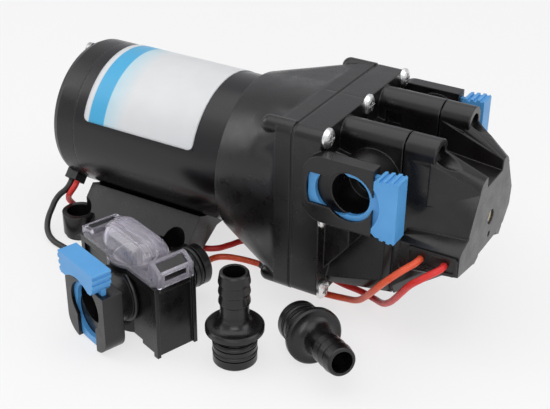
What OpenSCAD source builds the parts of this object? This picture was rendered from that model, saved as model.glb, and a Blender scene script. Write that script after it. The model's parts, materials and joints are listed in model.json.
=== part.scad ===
// Caravan water pump: a motor on a saddle base drives a four-chamber diaphragm head with a pressure switch.
// Its screen strainer and two hose tails lie beside it, taken off.
// X runs along the motor towards the head, Z is up, and the origin lies on the floor between the four base holes.

/* [Motor] */
// Outside diameter of the motor can
motor_d = 76; // [66:0.1:92]
// Length of the motor from its rear rim to the bell
motor_len = 103; // [95:0.1:124]
// How far the motor's rear rim stands behind the origin
motor_back = 44; // [38:1:60]
// Wall of the motor can
can_wall = 1.8; // [1.2:0.1:2.4]
// Length of the rear end cap
cap_len = 14.3; // [12:0.1:18]
// Height of the motor can's underside over the floor
motor_under = 18; // [17:0.5:24]
// Diameter of the motor shaft
shaft_d = 8; // [6:0.1:9.6]
// Air gap between rotor and magnets
rotor_gap = 1.2; // [0.6:0.1:2]
// Angle of the lead grommet below the horizontal, on the near side
grommet_angle = 47; // [38:1:56]

/* [Label] */
// Length of the rating label
label_len = 66; // [50:1:70]
// Gap from the end cap's seam to the label
label_gap = 6.7; // [2:0.1:10]
// Angle of the label's lower edge above the horizontal, on the near side
label_low = 18; // [5:1:40]
// Angle over which the label goes round the motor
label_sweep = 132; // [90:1:150]

/* [Base] */
// Distance between the base holes along the motor
base_hole_x = 60; // [54:1:72]
// Distance between the base holes across the motor
base_hole_y = 75; // [72:1:90]
// Diameter of the base holes
base_hole_d = 5.2; // [4:0.1:6]
// Diameter of the screw pockets
pocket_d = 13; // [11:0.5:16]
// Height of the lobes round the screw pockets
lobe_top = 14; // [9:0.5:17]
// Height of the rail's top edge
rail_z = 25; // [22:0.5:26]
// Half the width between the rails' top edges
rail_y = 25; // [22:0.5:28]
// Thickness of the rubber feet
foot_t = 2; // [1.5:0.1:3]

/* [Bell and head] */
// How far the bell stands out over the motor can
bell_lip = 3.3; // [2.4:0.1:5]
// Length of the bell
bell_len = 43; // [40:0.1:52]
// Radius of the circle of corner screws
corner_r = 55.5; // [54:0.5:60]
// Radius of the circle of middle screws
middle_r = 40.4; // [40.2:0.1:40.6]
// Half the width and half the height of the flange
flange_half = [44.4, 42.8];
// Radius of the flange's corners
flange_corner = 5; // [4:0.1:6.5]
// Length of the head's flange
flange_len = 14; // [12:0.5:18]
// Length of the head in front of its flange
head_len = 30.5; // [28:0.5:36]
// Thickness of the diaphragm
diaphragm_t = 1.2; // [0.8:0.1:2]
// Radius of the circle of pistons
piston_ring_r = 24; // [22:0.5:25]
// Tilt of the eccentric that rocks the drive plate
wobble_tilt = 2; // [1:0.5:3]

/* [Front cover] */
// Length of the front cover
cover_len = 34; // [30:0.5:40]
// Half the distance between the bolt tubes
tube_y = 19.5; // [18:0.5:22]
// Height of the bolt tubes over the axis
tube_z = 35; // [33:0.5:38]
// Radius of the bolt tubes
tube_r = 7; // [6:0.1:8]
// Length of the bolt tubes on the cover
tube_len = 15; // [12:0.5:20]
// Diameter of the adjusting screw
adjuster_d = 7; // [5:0.5:7.5]

/* [Ports and clips] */
// Distance from the head's flange to the ports' axis
port_back = 17; // [16.5:0.5:19]
// Height of the ports over the motor's axis
port_z = 19.5; // [18:0.5:20.5]
// Distance of each socket's mouth from the middle plane
port_y = 50; // [49:0.5:54]
// Diameter of the port's bore
port_bore_d = 20.5; // [17.1:0.1:22]
// Depth of the port's bore behind the clip
port_depth = 16; // [14:0.5:18]
// How far a clip slides to let a fitting go
clip_travel = 6.5; // [5:0.5:7]
// Length of a clip's grip
grip_len = 30.2; // [24:0.2:33]
// Width of a clip's grip along its slide
grip_w = 11.2; // [9:0.1:14]
// Thickness of a clip's grip
grip_t = 9.5; // [8:0.5:11]

/* [Hose tails] */
// Diameter over the hose tail's barbs, for a hose of half an inch
barb_d = 14.4; // [13:0.1:17]
// Bore of the hose tail
tail_bore_d = 10; // [7:0.1:10.4]
// Height of the hose tail
tail_len = 46.8; // [42:0.1:60]
// How far the hose tail's flange stands out over the socket's window
tail_flange_over = 1.7; // [1:0.1:3]
// Clearance of a plug in the port's bore, all round
plug_gap = 0.15; // [0.1:0.05:0.3]
// Diameter of an O-ring's section
oring_t = 2.5; // [1.8:0.1:2.8]

/* [Strainer] */
// Length of the strainer's body
strainer_len = 58; // [54:0.1:70]
// Width of the strainer's body
strainer_w = 19; // [17:0.1:23]
// Height of the strainer's body
strainer_h = 37.3; // [35:0.1:46]
// Height of the clear dome over the lid
dome_h = 13.5; // [11:0.5:16]
// Height of the plug's axis
strainer_plug_z = 17.5; // [16.5:0.5:20]

/* [Layout] */
// Place of the strainer
strainer_at = [44.5, -84.8];
// Turn of the strainer about the vertical
strainer_turn = -19.5; // [-60:0.5:60]
// Place of the standing hose tail
standing_at = [98.7, -86.7];
// Place of the lying hose tail's flange
lying_at = [128.2, -68.5];
// Direction in which the lying hose tail points
lying_turn = -36.5; // [-180:0.5:180]

/* [Leads] */
// Diameter of the leads
lead_d = 3.2; // [2.4:0.1:3.4]
// Length of the splice sleeve
sleeve_len = 9; // [6:0.5:12]

/* [Hidden] */
$fn = 64;
fit = 0.03;
slide_gap = 0.3;
over = 1;
facets = 32;
motor_r = motor_d / 2;
can_r = motor_r - can_wall;
axis_z = motor_under + motor_r;
x_rear = -motor_back;
x_cap = x_rear + cap_len;
x_bell = x_rear + motor_len;
x_can_end = x_bell + 3;
x_seam = x_bell + bell_len;
x_head = x_seam + diaphragm_t / 2;
x_bell_end = x_seam - diaphragm_t / 2;
x_flange = x_seam + flange_len + 0.5;
x_cover = x_flange + head_len;
x_nose = x_cover + cover_len;
x_port = x_flange + port_back;
shaft_r = shaft_d / 2;

// Motor inside
cap_wall = 3;
bearing_r = shaft_r + 5.5;
bearing_len = 6;
x_rear_bearing = x_rear + cap_wall;
commutator_r = shaft_r + 6;
commutator_len = 5;
x_commutator = x_rear_bearing + bearing_len + 1;
x_card = x_commutator + commutator_len - 1;
card_t = 1.2;
brush_w = 6;
brush_gap = 0.15;
plate_t = 4;
x_plate = x_bell - plate_t - 1;
magnet_t = 5;
magnet_arc = 130;
magnet_r = can_r - fit;
rotor_r = can_r - magnet_t - rotor_gap;
x_winding = x_card + card_t + 0.8;
winding_len = 9;
x_core = x_winding + winding_len;
x_core_end = x_plate - bearing_len - winding_len;
slot_count = 12;
slot_w = 2.4;
tie_r = (can_r + rotor_r) / 2;
tie_d = 3.6;
tie_head_d = 7;
tie_head_t = 2.4;

// Lead grommet: its faces along the motor, half its width round the rim, and its inner and outer faces
grommet_x = [x_rear + 1, x_rear + 8];
grommet_half = 4.5;
grommet_r = [can_r - 2, motor_r + 4];

// Eccentric and drive plate
x_hub = x_bell + 5;
hub_len = 4;
hub_r = shaft_r + 7;
journal_r = shaft_r + 3.5;
journal_len = 13;
x_journal_mid = x_hub + hub_len + journal_len / 2 + 0.6;
cam_bearing_r = journal_r + 6.5;
cam_bearing_len = 9;
plate_bore_r = cam_bearing_r + 0.8;
plate_hub_len = 12;
drive_plate_r = piston_ring_r + 8;
drive_plate_t = 4;
x_drive_plate_end = x_journal_mid + plate_hub_len / 2;
post_r = 6;

// Bell and head
bell_wall = 3;
bell_corner = 9;
collar_len = 8;
bell_boss_r = 4.2;
bell_boss_len = 17.5;
piston_cap_r = 9;
piston_cap_t = 2.2;
valve_plate_r = 37.5;
valve_plate_t = 9;
x_valve_plate_end = x_head + valve_plate_t;
chamber_r = 11;
chamber_depth = 5.5;
valve_offset = 5;
valve_r = 3.4;
valve_t = 1;
valve_hole_r = 1.6;
gallery_r = 21;
gallery_wall = 3;
x_gallery_end = x_cover - 6;
passage_r = 6;
gasket_t = 0.8;
web_z = 15;
web_pocket_x = [x_flange + 4, x_flange + 12.3];
web_pocket_z = [26.4, 33.3];
web_pocket_depth = 3;
cheek_y = 38;
cheek_low = -12.8;
cheek_root = -28.7;
x_cheek = x_flange + 12.5;
recess_y = 25;
recess_z = [-13, 4];
recess_slope = 0.48;
seam_rim = 3.5;

// Screws
screw_d = 4;
screw_head_d = 9.4;
screw_head_t = 2.6;
screw_len = 30;
middle_screw_len = 21.5;
cross_w = 1.1;
cross_depth = 1.4;
corner_angles = [45, 135, 225, 315];
middle_angles = [0, 90, 180, 270];
cover_screw_d = 4;
cover_screw_head_d = 7;
x_cover_screw_head = x_cover + tube_len - 6;
x_lower_screw_head = x_nose - 22;
lower_screw_y = 14.5;
lower_screw_z = -24;

// Pressure switch
switch_bore_r = 8;
plunger_r = 3.8;
plunger_flange_r = 7.4;
plunger_len = 9;
plunger_flange_t = 3;
x_plunger = x_cover + gasket_t;
spring_r = 5.6;
spring_wire_r = 0.6;
spring_turns = 5;
adjuster_len = 11;
x_adjuster = x_nose - 1 - adjuster_len;
x_switch_end = x_adjuster - 1;
lobe_y = 36;
x_lobe = x_cover + 6;
switch_low = -11.5;
lead_plate_t = 1.4;
lead_plate_size = [23.6, 9.4];
lead_plate_at = [x_nose - 24, -12.6];
lead_plate_corner = 2;
lead_plate_rim = 1.4;
lead_panel_t = 0.7;
lead_x = [x_nose - 17.6, x_nose - 6.3];

// Hose tail and the strainer's plug
port_r = port_bore_d / 2;
plug_r = port_r - plug_gap;
oring_r = oring_t / 2;
oring_mid_r = plug_r + 0.2 - oring_r;
oring_groove_r = oring_mid_r - oring_r - fit;
oring_groove_w = oring_t + 0.3;
oring_heights = [6, 11];
neck_r = plug_r - 1.1;
neck_z = 12.7;

// Socket and clip, in a frame with its origin in the socket's mouth, X along the slide and Y into the body
clip_t = 2.2;
clip_lock_r = neck_r + slide_gap;
clip_open_r = port_r + 0.45;
clip_end = clip_open_r + clip_travel + 3.4;
sock_wall = 1.6;
sock_slot_w = 2.6;
sock_slot_half = clip_open_r + 2.6;
sock_half = sock_slot_half + 2.7;
sock_end = clip_end + slide_gap;
sock_front = clip_lock_r + 1.9;
sock_corner = 9;
sock_depth = sock_wall + sock_slot_w + port_depth;
sock_back = sock_wall + sock_slot_w + 2.6;
sock_rim = 1.8;
slot_corner = 9.3;
clip_half = sock_slot_half - slide_gap;
window_r = clip_open_r + 0.9;
window_half = 7.6;
grip_from = sock_front + 1.6;
grip_proud = 3.2;
grip_waist_r = 15;
grip_waist_depth = 3.2;
rib_count = 3;
rib_w = 1.6;
rib_pitch = 3.2;
rib_depth = 0.9;

// Hose tail in front of its plug
tail_flange_r = window_r + tail_flange_over;
tail_flange_z = 16.8;
tail_flange_t = 2.8;
tail_bevel = 0.8;
barb_count = 3;
barb_pitch = 5;
barb_root_r = barb_d / 2 - 0.7;
mouth_r = barb_d / 2 - 0.6;
tail_root_r = min(4.8, tail_flange_r - tail_bevel - barb_root_r - 0.2);
lying_tilt = atan((tail_flange_r - plug_r) / tail_flange_z);

// Strainer
strainer_wall = 2;
bowl_r = 13;
lid_rim = 0.8;
lid_flange_t = 1.7;
lid_wall = 1.4;
flange_t = 3;
strainer_sock_at = [0.9, -29.3, sock_end + 0.6];
strainer_sock_depth = sock_back + 3.4;
strainer_bore_depth = tail_flange_z + 0.6;
strainer_bore_end = strainer_sock_at.y + strainer_bore_depth;
neck_tube_r = 13.5;
neck_bead_r = 1.3;
strainer_plug_end = 36;
corner_rib_t = 1.8;
corner_rib_out = 1.5;
strainer_foot = [13, 11];
seal_t = 0.8;
screen_r = bowl_r - strainer_wall - 0.8;
screen_wall = 0.7;
screen_slots = 18;
screen_slot_w = 2;
latch_x = [strainer_len / 2 - 3, strainer_len / 2 + 1.1];
latch_half = 7;
latch_h = [9.6, 7];
hood_x = [strainer_len / 2 - 5, strainer_len / 2 + 2.4];
hood_half = 9.4;
hood_h = [10.4, 7];
hood_slot_z = [2.4, 5.8];
dome_len = 9.5;
dome_wall = 3;
dome_ribs = [-5.4, -2.7, 0, 2.7, 5.4];
dome_rib_w = 0.9;
dome_rib_h = 0.6;
dome_rib_z = 5;
hook_h = [4.2, 3.4];
hook_tongue_h = 3;

// Base
lobe_r = pocket_d / 2 + 2.5;
pocket_z = foot_t + 4;
rail_foot_y = rail_y + rail_z - foot_t - 2;
rail_x_end = base_hole_x / 2 + lobe_r;
tunnel_y = 24;
tunnel_z = 12.5;
tunnel_shoulder = 4.5;
saddle_screw_x = [-14, 20];
saddle_screw_d = 4;

// Leads, each from the object outwards
lead_r = lead_d / 2;
lead_sides = 8;
lead_exit_y = -lobe_y - lead_panel_t;
lead_exit_z = axis_z - 8.3;
orange_exit = [lead_x[0], lead_exit_y, lead_exit_z];
red_exit = [lead_x[1], lead_exit_y, lead_exit_z];
function grommet_point(x, r) = [x, -r * cos(grommet_angle), axis_z - r * sin(grommet_angle)];
red_root = grommet_x[1] - 1.7;
black_root = red_root - lead_d - 0.4;
sleeve_wall = 0.9;
sleeve_r = lead_r + sleeve_wall;
sleeve_at = [70.5, -17.6, sleeve_r + 0.1];
sleeve_way = [sleeve_len * cos(6.3), -sleeve_len * sin(6.3), 0];
bared_len = 8;
bared_r = 1;
orange_route = concat(
    [for (p = [[0, 0, 0], [0, -2.3, 0], [-1, -4.7, -0.7], [-3.6, -6.7, -2.7], [-7.4, -7.7, -6.5],
        [-12.8, -7.3, -12.7], [-20, -3.3, -22.4], [-27, 3.7, -32.3]]) orange_exit + p],
    [[128.5, -26, 6.6], [121, -22.3, 2.8], [114, -22.4, 2], [105, -23.2, 1.9], [96, -22, 2], [86, -19.6, 2.6],
    sleeve_at + sleeve_way, sleeve_at, [64, -17.2, 2.2], [57, -17.8, 1.9], [50.6, -19.6, 1.8], [46.6, -22.8, 1.8],
    [44.8, -28, 1.8], [44.4, -35, 1.8], [43.2, -42, 1.8], [39.2, -48, 1.8], [32, -51.6, 1.8], [23, -52.4, 1.8],
    [14, -52.4, 1.8], [5, -52.4, 1.8]]);
red_route = concat(
    [for (p = [[0, 0, 0], [0, -2.3, 0], [-1.1, -4.9, -0.5], [-3.7, -6.7, -2.3], [-7.7, -7.7, -5.7],
        [-12.1, -6.9, -10.3], [-17.1, -3.7, -17.7], [-22.7, 2.1, -26.7]]) red_exit + p],
    [[146, -27.6, 12.4], [140, -20.8, 6], [133.5, -15, 2.6], [125, -11.8, 1.9], [112, -10, 1.8], [96, -5, 1.8],
    [80, 1, 1.8], [66, 4.4, 1.8], [56, 3, 1.8], [49.6, -2, 1.8], [46, -9, 1.8], [41.6, -15.6, 1.8],
    [34, -19, 1.8], [20, -19.6, 1.8], [4, -19.4, 1.8], [-12, -19.4, 1.8], [-26, -20, 1.8], [-35.4, -21.6, 2.6],
    [-41.4, -24.6, 6], [-43.4, -28.6, 11], [-42, -31.6, 16], [-39, -32.4, 20.4],
    grommet_point(red_root, grommet_r[1] + 2.4), grommet_point(red_root, grommet_r[1])]);
black_route = [grommet_point(black_root, grommet_r[1]), grommet_point(black_root, grommet_r[1] + 2.4),
    [-42.6, -32.6, 20.6], [-45, -34.8, 18], [-46.4, -37.4, 15], [-46.4, -40.4, 12], [-46, -43.8, 9],
    [-44.4, -47.4, 6], [-41.2, -50.8, 3.6], [-36, -53.6, 2.2], [-28, -55.6, 1.8], [-18, -57, 1.8], [-6, -57.6, 1.8],
    [6, -57.6, 1.8], [18, -57.6, 1.8], [28, -57.6, 1.8]];

black_plastic = [0.09, 0.09, 0.1];
dark_plastic = [0.13, 0.13, 0.14];
rubber = [0.05, 0.05, 0.06];
steel = [0.72, 0.73, 0.75];
copper = [0.75, 0.42, 0.22];
clip_blue = [0.2, 0.52, 0.85];

// Helpers that lay shapes along the pump's axis

// A cylinder along X, with y and z measured from the pump's axis
module cyl_x(x0, x1, r, y = 0, z = 0) {
    translate([x0, y, axis_z + z])
        rotate([0, 90, 0])
            cylinder(h = x1 - x0, r = r);
}

// A ring along X
module ring_x(x0, x1, r_out, r_in) {
    difference() {
        cyl_x(x0, x1, r_out);
        cyl_x(x0 - over, x1 + over, r_in);
    }
}

// A section drawn in Y and Z about the pump's axis, carried along X
module ext_x(x0, x1) {
    translate([x0, 0, axis_z])
        rotate([90, 0, 90])
            linear_extrude(x1 - x0)
                children();
}

// A profile of radius and X, turned about the pump's axis
module turn_x() {
    translate([0, 0, axis_z])
        rotate([0, 90, 0])
            rotate_extrude()
                children();
}

// Copies at angles round the pump's axis
module around(angles, r) {
    for (a = angles)
        translate([0, r * cos(a), r * sin(a)])
            children();
}

// A box between two corners
module box(from, to) {
    translate(from)
        cube(to - from);
}

// A rectangle from the origin with round corners
module rounded_2d(size, r) {
    union() {
        translate([r, 0])
            square([size.x - 2 * r, size.y]);
        translate([0, r])
            square([size.x, size.y - 2 * r]);
        for (x = [r, size.x - r], y = [r, size.y - r])
            translate([x, y])
                circle(r = r);
    }
}

// Outline of the bell's and the head's flange
module flange_2d(shrink = 0, corner = flange_corner) {
    size = 2 * flange_half - 2 * shrink * [1, 1];
    translate(-size / 2)
        rounded_2d(size, corner - shrink);
}

// Holes for the eight flange screws, from their tips to x1
module flange_holes(x1, d) {
    around(corner_angles, corner_r)
        cyl_x(x_flange - screw_len, x1, d / 2);
    around(middle_angles, middle_r)
        cyl_x(x_flange - middle_screw_len, x1, d / 2);
}

// A pan-head screw along -X with its head's seat at x, and a cross in its head
module pan_screw(x, len, d, head_d, head_t) {
    difference() {
        union() {
            cyl_x(x - len, x, d / 2);
            turn_x()
                polygon([[0, x], [head_d / 2, x], [head_d / 2, x + head_t * 0.45], [head_d * 0.4, x + head_t * 0.8],
                    [head_d * 0.26, x + head_t], [0, x + head_t]]);
        }
        for (turn = [0, 90])
            translate([x + head_t - cross_depth, 0, axis_z])
                rotate([turn, 0, 0])
                    translate([0, -head_d * 0.3, -cross_w / 2])
                        cube([cross_depth + over, head_d * 0.6, cross_w]);
    }
}

// A tube of the given radius swept along a route
function along(p, i) = let (a = p[max(i - 1, 0)], b = p[min(i + 1, len(p) - 1)]) (b - a) / norm(b - a);
function carried(u, t) = let (v = u - (u * t) * t) v / norm(v);
function sides(p, i = 0, u = [0.31, 0.23, 0.92]) = i == len(p) ? [] :
    let (t = along(p, i), w = carried(u, t)) concat([[w, cross(t, w)]], sides(p, i + 1, w));

module tube(route, r, n) {
    frames = sides(route);
    count = len(route);
    points = [for (i = [0:count - 1]) for (k = [0:n - 1])
        route[i] + r * (cos(360 * k / n) * frames[i][0] + sin(360 * k / n) * frames[i][1])];
    skin = [for (i = [0:count - 2]) for (k = [0:n - 1])
        let (a = i * n + k, b = i * n + (k + 1) % n) each [[a, a + n, b + n], [a, b + n, b]]];
    start = [for (k = [0:n - 1]) k];
    end = [for (k = [n - 1:-1:0]) (count - 1) * n + k];
    polyhedron(points, concat(skin, [start, end]), convexity = 6);
}

// Motor

module motor_can() {
    color(black_plastic)
        difference() {
            ring_x(x_cap, x_can_end, motor_r, can_r);
            for (x = saddle_screw_x)
                translate([x, 0, 0])
                    cylinder(h = axis_z, d = saddle_screw_d + 2 * fit);
        }
}

module rear_end_cap() {
    round_r = 4;
    color(dark_plastic)
        difference() {
            turn_x()
                polygon([[0, x_rear - 3], [bearing_r - 2, x_rear - 3], [bearing_r, x_rear - 1.5],
                    [bearing_r + 0.5, x_rear], [motor_r - round_r, x_rear], [motor_r - round_r * 0.3, x_rear + 1.2],
                    [motor_r, x_rear + round_r], [motor_r, x_cap], [can_r, x_cap], [can_r, x_rear + cap_wall],
                    [bearing_r + 2.5, x_rear + cap_wall], [bearing_r + 2.5, x_rear_bearing + bearing_len],
                    [bearing_r + fit, x_rear_bearing + bearing_len], [bearing_r + fit, x_rear_bearing],
                    [shaft_r + 0.6, x_rear_bearing], [shaft_r + 0.6, x_rear - 1.2], [0, x_rear - 1.2]]);
            around([90, 270], tie_r)
                cyl_x(x_rear - over, x_cap, tie_d / 2 + fit);
            grommet_block(fit);
        }
}

// The grommet's block, standing through the end cap's rim
module grommet_block(grow = 0) {
    translate([0, 0, axis_z])
        rotate([grommet_angle, 0, 0])
            box([grommet_x[0] - grow, -grommet_r[1], -grommet_half - grow],
                [grommet_x[1] + grow, -grommet_r[0], grommet_half + grow]);
}

module lead_grommet() {
    color(rubber)
        grommet_block();
}

module front_end_plate() {
    color(steel)
        difference() {
            union() {
                cyl_x(x_plate, x_plate + plate_t, can_r - fit);
                cyl_x(x_plate + plate_t - bearing_len, x_plate + plate_t, bearing_r + 2.5);
            }
            cyl_x(x_plate - bearing_len, x_plate + plate_t + over, bearing_r + fit);
            around([90, 270], tie_r)
                cyl_x(x_plate - over, x_plate + plate_t + over, tie_d / 2 + fit);
        }
}

module field_magnets() {
    color([0.25, 0.25, 0.27])
        for (side = [0, 180])
            translate([0, 0, axis_z])
                rotate([side, 0, 0])
                    rotate([0, 90, 0])
                        rotate([0, 0, 90 - magnet_arc / 2])
                            rotate_extrude(angle = magnet_arc)
                                translate([magnet_r - magnet_t, x_core - 2])
                                    square([magnet_t, x_core_end - x_core + 4]);
}

module rotor_core() {
    color([0.5, 0.5, 0.52])
        difference() {
            ring_x(x_core, x_core_end, rotor_r, shaft_r + fit);
            for (k = [0:slot_count - 1])
                translate([x_core - over, 0, axis_z])
                    rotate([360 * k / slot_count, 0, 0])
                        translate([0, -slot_w / 2, rotor_r * 0.55])
                            cube([x_core_end - x_core + 2 * over, slot_w, rotor_r]);
        }
}

module rotor_windings() {
    inner = commutator_r + 2;
    outer = rotor_r - 3;
    color(copper)
        for (x = [x_winding, x_core_end])
            turn_x()
                translate([(inner + outer) / 2, x + winding_len / 2])
                    square([outer - inner, winding_len - 0.6], center = true);
}

module commutator() {
    color(copper)
        ring_x(x_commutator, x_core, commutator_r, shaft_r + fit);
}

module motor_shaft() {
    color(steel)
        cyl_x(x_rear - 0.6, x_journal_mid + journal_len / 2 + 1, shaft_r);
}

module rear_bearing() {
    color(steel)
        ring_x(x_rear_bearing, x_rear_bearing + bearing_len, bearing_r, shaft_r + fit);
}

module front_bearing() {
    color(steel)
        ring_x(x_plate + plate_t - bearing_len, x_plate + plate_t, bearing_r, shaft_r + fit);
}

module carbon_brushes() {
    color([0.2, 0.2, 0.21])
        for (side = [-1, 1])
            translate([0, side * (commutator_r + brush_gap + brush_w), axis_z])
                box([x_commutator + 0.4, -brush_w, -brush_w / 2], [x_card, brush_w, brush_w / 2]);
}

module brush_card() {
    color([0.35, 0.26, 0.18])
        difference() {
            ring_x(x_card, x_card + card_t, can_r - fit, commutator_r + 1.5);
            around([90, 270], tie_r)
                cyl_x(x_card - over, x_card + card_t + over, tie_d / 2 + fit);
        }
}

module tie_bolts() {
    color(steel)
        around([90, 270], tie_r)
            union() {
                cyl_x(x_rear, x_plate + plate_t, tie_d / 2);
                cyl_x(x_rear - tie_head_t, x_rear, tie_head_d / 2);
            }
}

module rating_label() {
    label_t = 0.25;
    color([0.93, 0.95, 0.97])
        translate([0, 0, axis_z])
            rotate([-label_low, 0, 0])
                mirror([0, 1, 0])
                    rotate([0, 90, 0])
                        rotate([0, 0, 90])
                            rotate_extrude(angle = label_sweep)
                                translate([motor_r + fit, x_cap + label_gap])
                                    square([label_t, label_len]);
}

// Base

// Copies at the four base holes
module at_base_holes() {
    for (x = [-1, 1], y = [-1, 1])
        translate([x * base_hole_x / 2, y * base_hole_y / 2, 0])
            children();
}

// A section drawn in Y and Z over the floor, carried along X
module ext_floor(x0, x1) {
    translate([x0, 0, 0])
        rotate([90, 0, 90])
            linear_extrude(x1 - x0)
                children();
}

module base_saddle() {
    inner_y = rail_y - 5;
    inner_z = rail_z - 2;
    hollow_x = base_hole_x / 2 - lobe_r - 2;
    color(dark_plastic)
        difference() {
            union() {
                ext_floor(-base_hole_x / 2, rail_x_end)
                    polygon([[-rail_foot_y, foot_t], [-rail_foot_y, foot_t + 2], [-rail_y, rail_z],
                        [-inner_y, inner_z], [inner_y, inner_z], [rail_y, rail_z], [rail_foot_y, foot_t + 2],
                        [rail_foot_y, foot_t]]);
                at_base_holes()
                    translate([0, 0, foot_t])
                        cylinder(h = lobe_top - foot_t, r = lobe_r);
            }
            cyl_x(x_rear - over, x_bell, motor_r + fit);
            ext_floor(-base_hole_x, base_hole_x)
                polygon([[-tunnel_y, -over], [-tunnel_y, tunnel_shoulder], [-tunnel_y / 2.4, tunnel_z],
                    [tunnel_y / 2.4, tunnel_z], [tunnel_y, tunnel_shoulder], [tunnel_y, -over]]);
            for (side = [-1, 1])
                ext_floor(-hollow_x, hollow_x)
                    polygon([[side * (tunnel_y + 4), -over], [side * (tunnel_y + 4), rail_z - 9],
                        [side * (rail_foot_y - 5), foot_t + 3], [side * (rail_foot_y - 5), -over]]);
            at_base_holes()
                union() {
                    translate([0, 0, pocket_z])
                        cylinder(h = rail_z, d = pocket_d);
                    cylinder(h = rail_z, d = base_hole_d);
                }
            for (x = saddle_screw_x)
                translate([x, 0, 0])
                    cylinder(h = axis_z - motor_r + over, d = saddle_screw_d + 2 * fit);
        }
}

module rubber_feet() {
    color(rubber)
        at_base_holes()
            difference() {
                cylinder(h = foot_t, r = lobe_r - 1);
                translate([0, 0, -over])
                    cylinder(h = foot_t + 2 * over, d = base_hole_d);
            }
}

module saddle_screws() {
    head_t = 2.4;
    color(steel)
        for (x = saddle_screw_x)
            translate([x, 0, tunnel_z - head_t])
                union() {
                    cylinder(h = head_t, d = 2 * saddle_screw_d);
                    cylinder(h = axis_z - can_r + 2 - tunnel_z, d = saddle_screw_d);
                }
}

// Bell and drive

module bell_housing() {
    x_collar = x_bell_end - collar_len;
    color(dark_plastic)
        difference() {
            union() {
                hull() {
                    cyl_x(x_bell, x_bell + 2, motor_r + bell_lip, $fn = facets * 4);
                    ext_x(x_collar, x_collar + over)
                        flange_2d(0.2, bell_corner, $fn = facets * 3);
                }
                ext_x(x_collar, x_bell_end)
                    flange_2d();
                around(corner_angles, corner_r)
                    boss_x(x_bell_end - bell_boss_len, x_bell_end, bell_boss_r);
            }
            hull() {
                cyl_x(x_can_end + bell_wall, x_can_end + bell_wall + over, motor_r - bell_wall, $fn = facets * 2);
                cyl_x(x_bell_end, x_bell_end + over, valve_plate_r + 0.2, $fn = facets * 2);
            }
            cyl_x(x_bell - over, x_can_end, motor_r + fit);
            cyl_x(x_bell, x_can_end + bell_wall + over, hub_r + 6);
            flange_holes(x_bell_end + over, screw_d + 2 * fit);
        }
}

// A round-ended boss along X
module boss_x(x0, x1, r) {
    turn_x()
        intersection() {
            union() {
                translate([0, x0 + r])
                    circle(r = r);
                translate([0, x0 + r])
                    square([r, x1 - x0 - r]);
            }
            translate([0, x0])
                square([r, x1 - x0]);
        }
}

// Turns children by the eccentric's tilt about the journal's middle
module tilted() {
    translate([x_journal_mid, 0, axis_z])
        rotate([0, wobble_tilt, 0])
            translate([-x_journal_mid, 0, -axis_z])
                children();
}

module eccentric_hub() {
    color([0.6, 0.6, 0.62])
        difference() {
            union() {
                cyl_x(x_hub, x_hub + hub_len, hub_r);
                tilted()
                    cyl_x(x_journal_mid - journal_len / 2 - 1, x_journal_mid + journal_len / 2, journal_r);
            }
            cyl_x(x_hub - over, x_journal_mid + journal_len, shaft_r + fit);
        }
}

module cam_bearing() {
    half = cam_bearing_len / 2;
    color(steel)
        tilted()
            ring_x(x_journal_mid - half, x_journal_mid + half, cam_bearing_r, journal_r + fit);
}

module drive_plate() {
    x0 = x_journal_mid - plate_hub_len / 2;
    color([0.75, 0.74, 0.7])
        difference() {
            union() {
                cyl_x(x0, x_drive_plate_end, plate_bore_r + 3);
                cyl_x(x_drive_plate_end - drive_plate_t, x_drive_plate_end, drive_plate_r);
                around(corner_angles, piston_ring_r)
                    cyl_x(x_drive_plate_end - drive_plate_t, x_bell_end, post_r);
            }
            cyl_x(x0 - over, x_drive_plate_end + over, plate_bore_r);
        }
}

module piston_caps() {
    color(dark_plastic)
        around(corner_angles, piston_ring_r)
            cyl_x(x_head, x_head + piston_cap_t, piston_cap_r);
}

module diaphragm() {
    color(rubber)
        difference() {
            ext_x(x_bell_end, x_head)
                flange_2d(0.2);
            flange_holes(x_head + over, screw_d + 2 * fit);
        }
}

// Pump head

module valve_plate() {
    color([0.8, 0.8, 0.78])
        difference() {
            cyl_x(x_head, x_valve_plate_end, valve_plate_r);
            around(corner_angles, piston_ring_r) {
                cyl_x(x_head - over, x_head + chamber_depth, chamber_r);
                for (side = [-1, 1])
                    translate([0, side * valve_offset, 0])
                        cyl_x(x_head, x_valve_plate_end + over, valve_hole_r);
            }
        }
}

// Discs over the valve holes on one side of each chamber
module valve_discs(side, x) {
    around(corner_angles, piston_ring_r)
        translate([0, side * valve_offset, 0])
            cyl_x(x, x + valve_t, valve_r);
}

module inlet_valves() {
    color([0.65, 0.2, 0.15])
        valve_discs(-1, x_head + chamber_depth - valve_t);
}

module outlet_valves() {
    color([0.65, 0.2, 0.15])
        valve_discs(1, x_valve_plate_end);
}

// Sections of the head and the cover about the axis, each half mirrored
function mirrored(half) = concat(half, [for (i = [len(half) - 1:-1:0]) [-half[i].x, half[i].y]]);
function flipped(points, side) = [for (p = points) [side * p.x, p.y]];
head_section = mirrored([[30, 29], [38, 22], [39.3, -24], [34, -38]]);
split_section = mirrored([[24, 21], [29.5, 0], [31.5, -31], [27, -37.5]]);
nose_section = mirrored([[18, 19.5], [26.5, 3.5], [26, -5.5], [20, -12.4], [14, -14]]);

// The part of the core that hulls two sections between two places along X
module loft(x0, section0, x1, section1) {
    thin = 0.5;
    hull() {
        ext_x(x0, x0 + thin)
            polygon(section0);
        ext_x(x1 - thin, x1)
            polygon(section1);
    }
}

// Outer form of a clip socket
module socket_block(depth, rim) {
    translate([0, depth, 0])
        rotate([90, 0, 0])
            linear_extrude(depth)
                keyway_2d(sock_end + rim, sock_front, sock_half, sock_corner);
}

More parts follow.
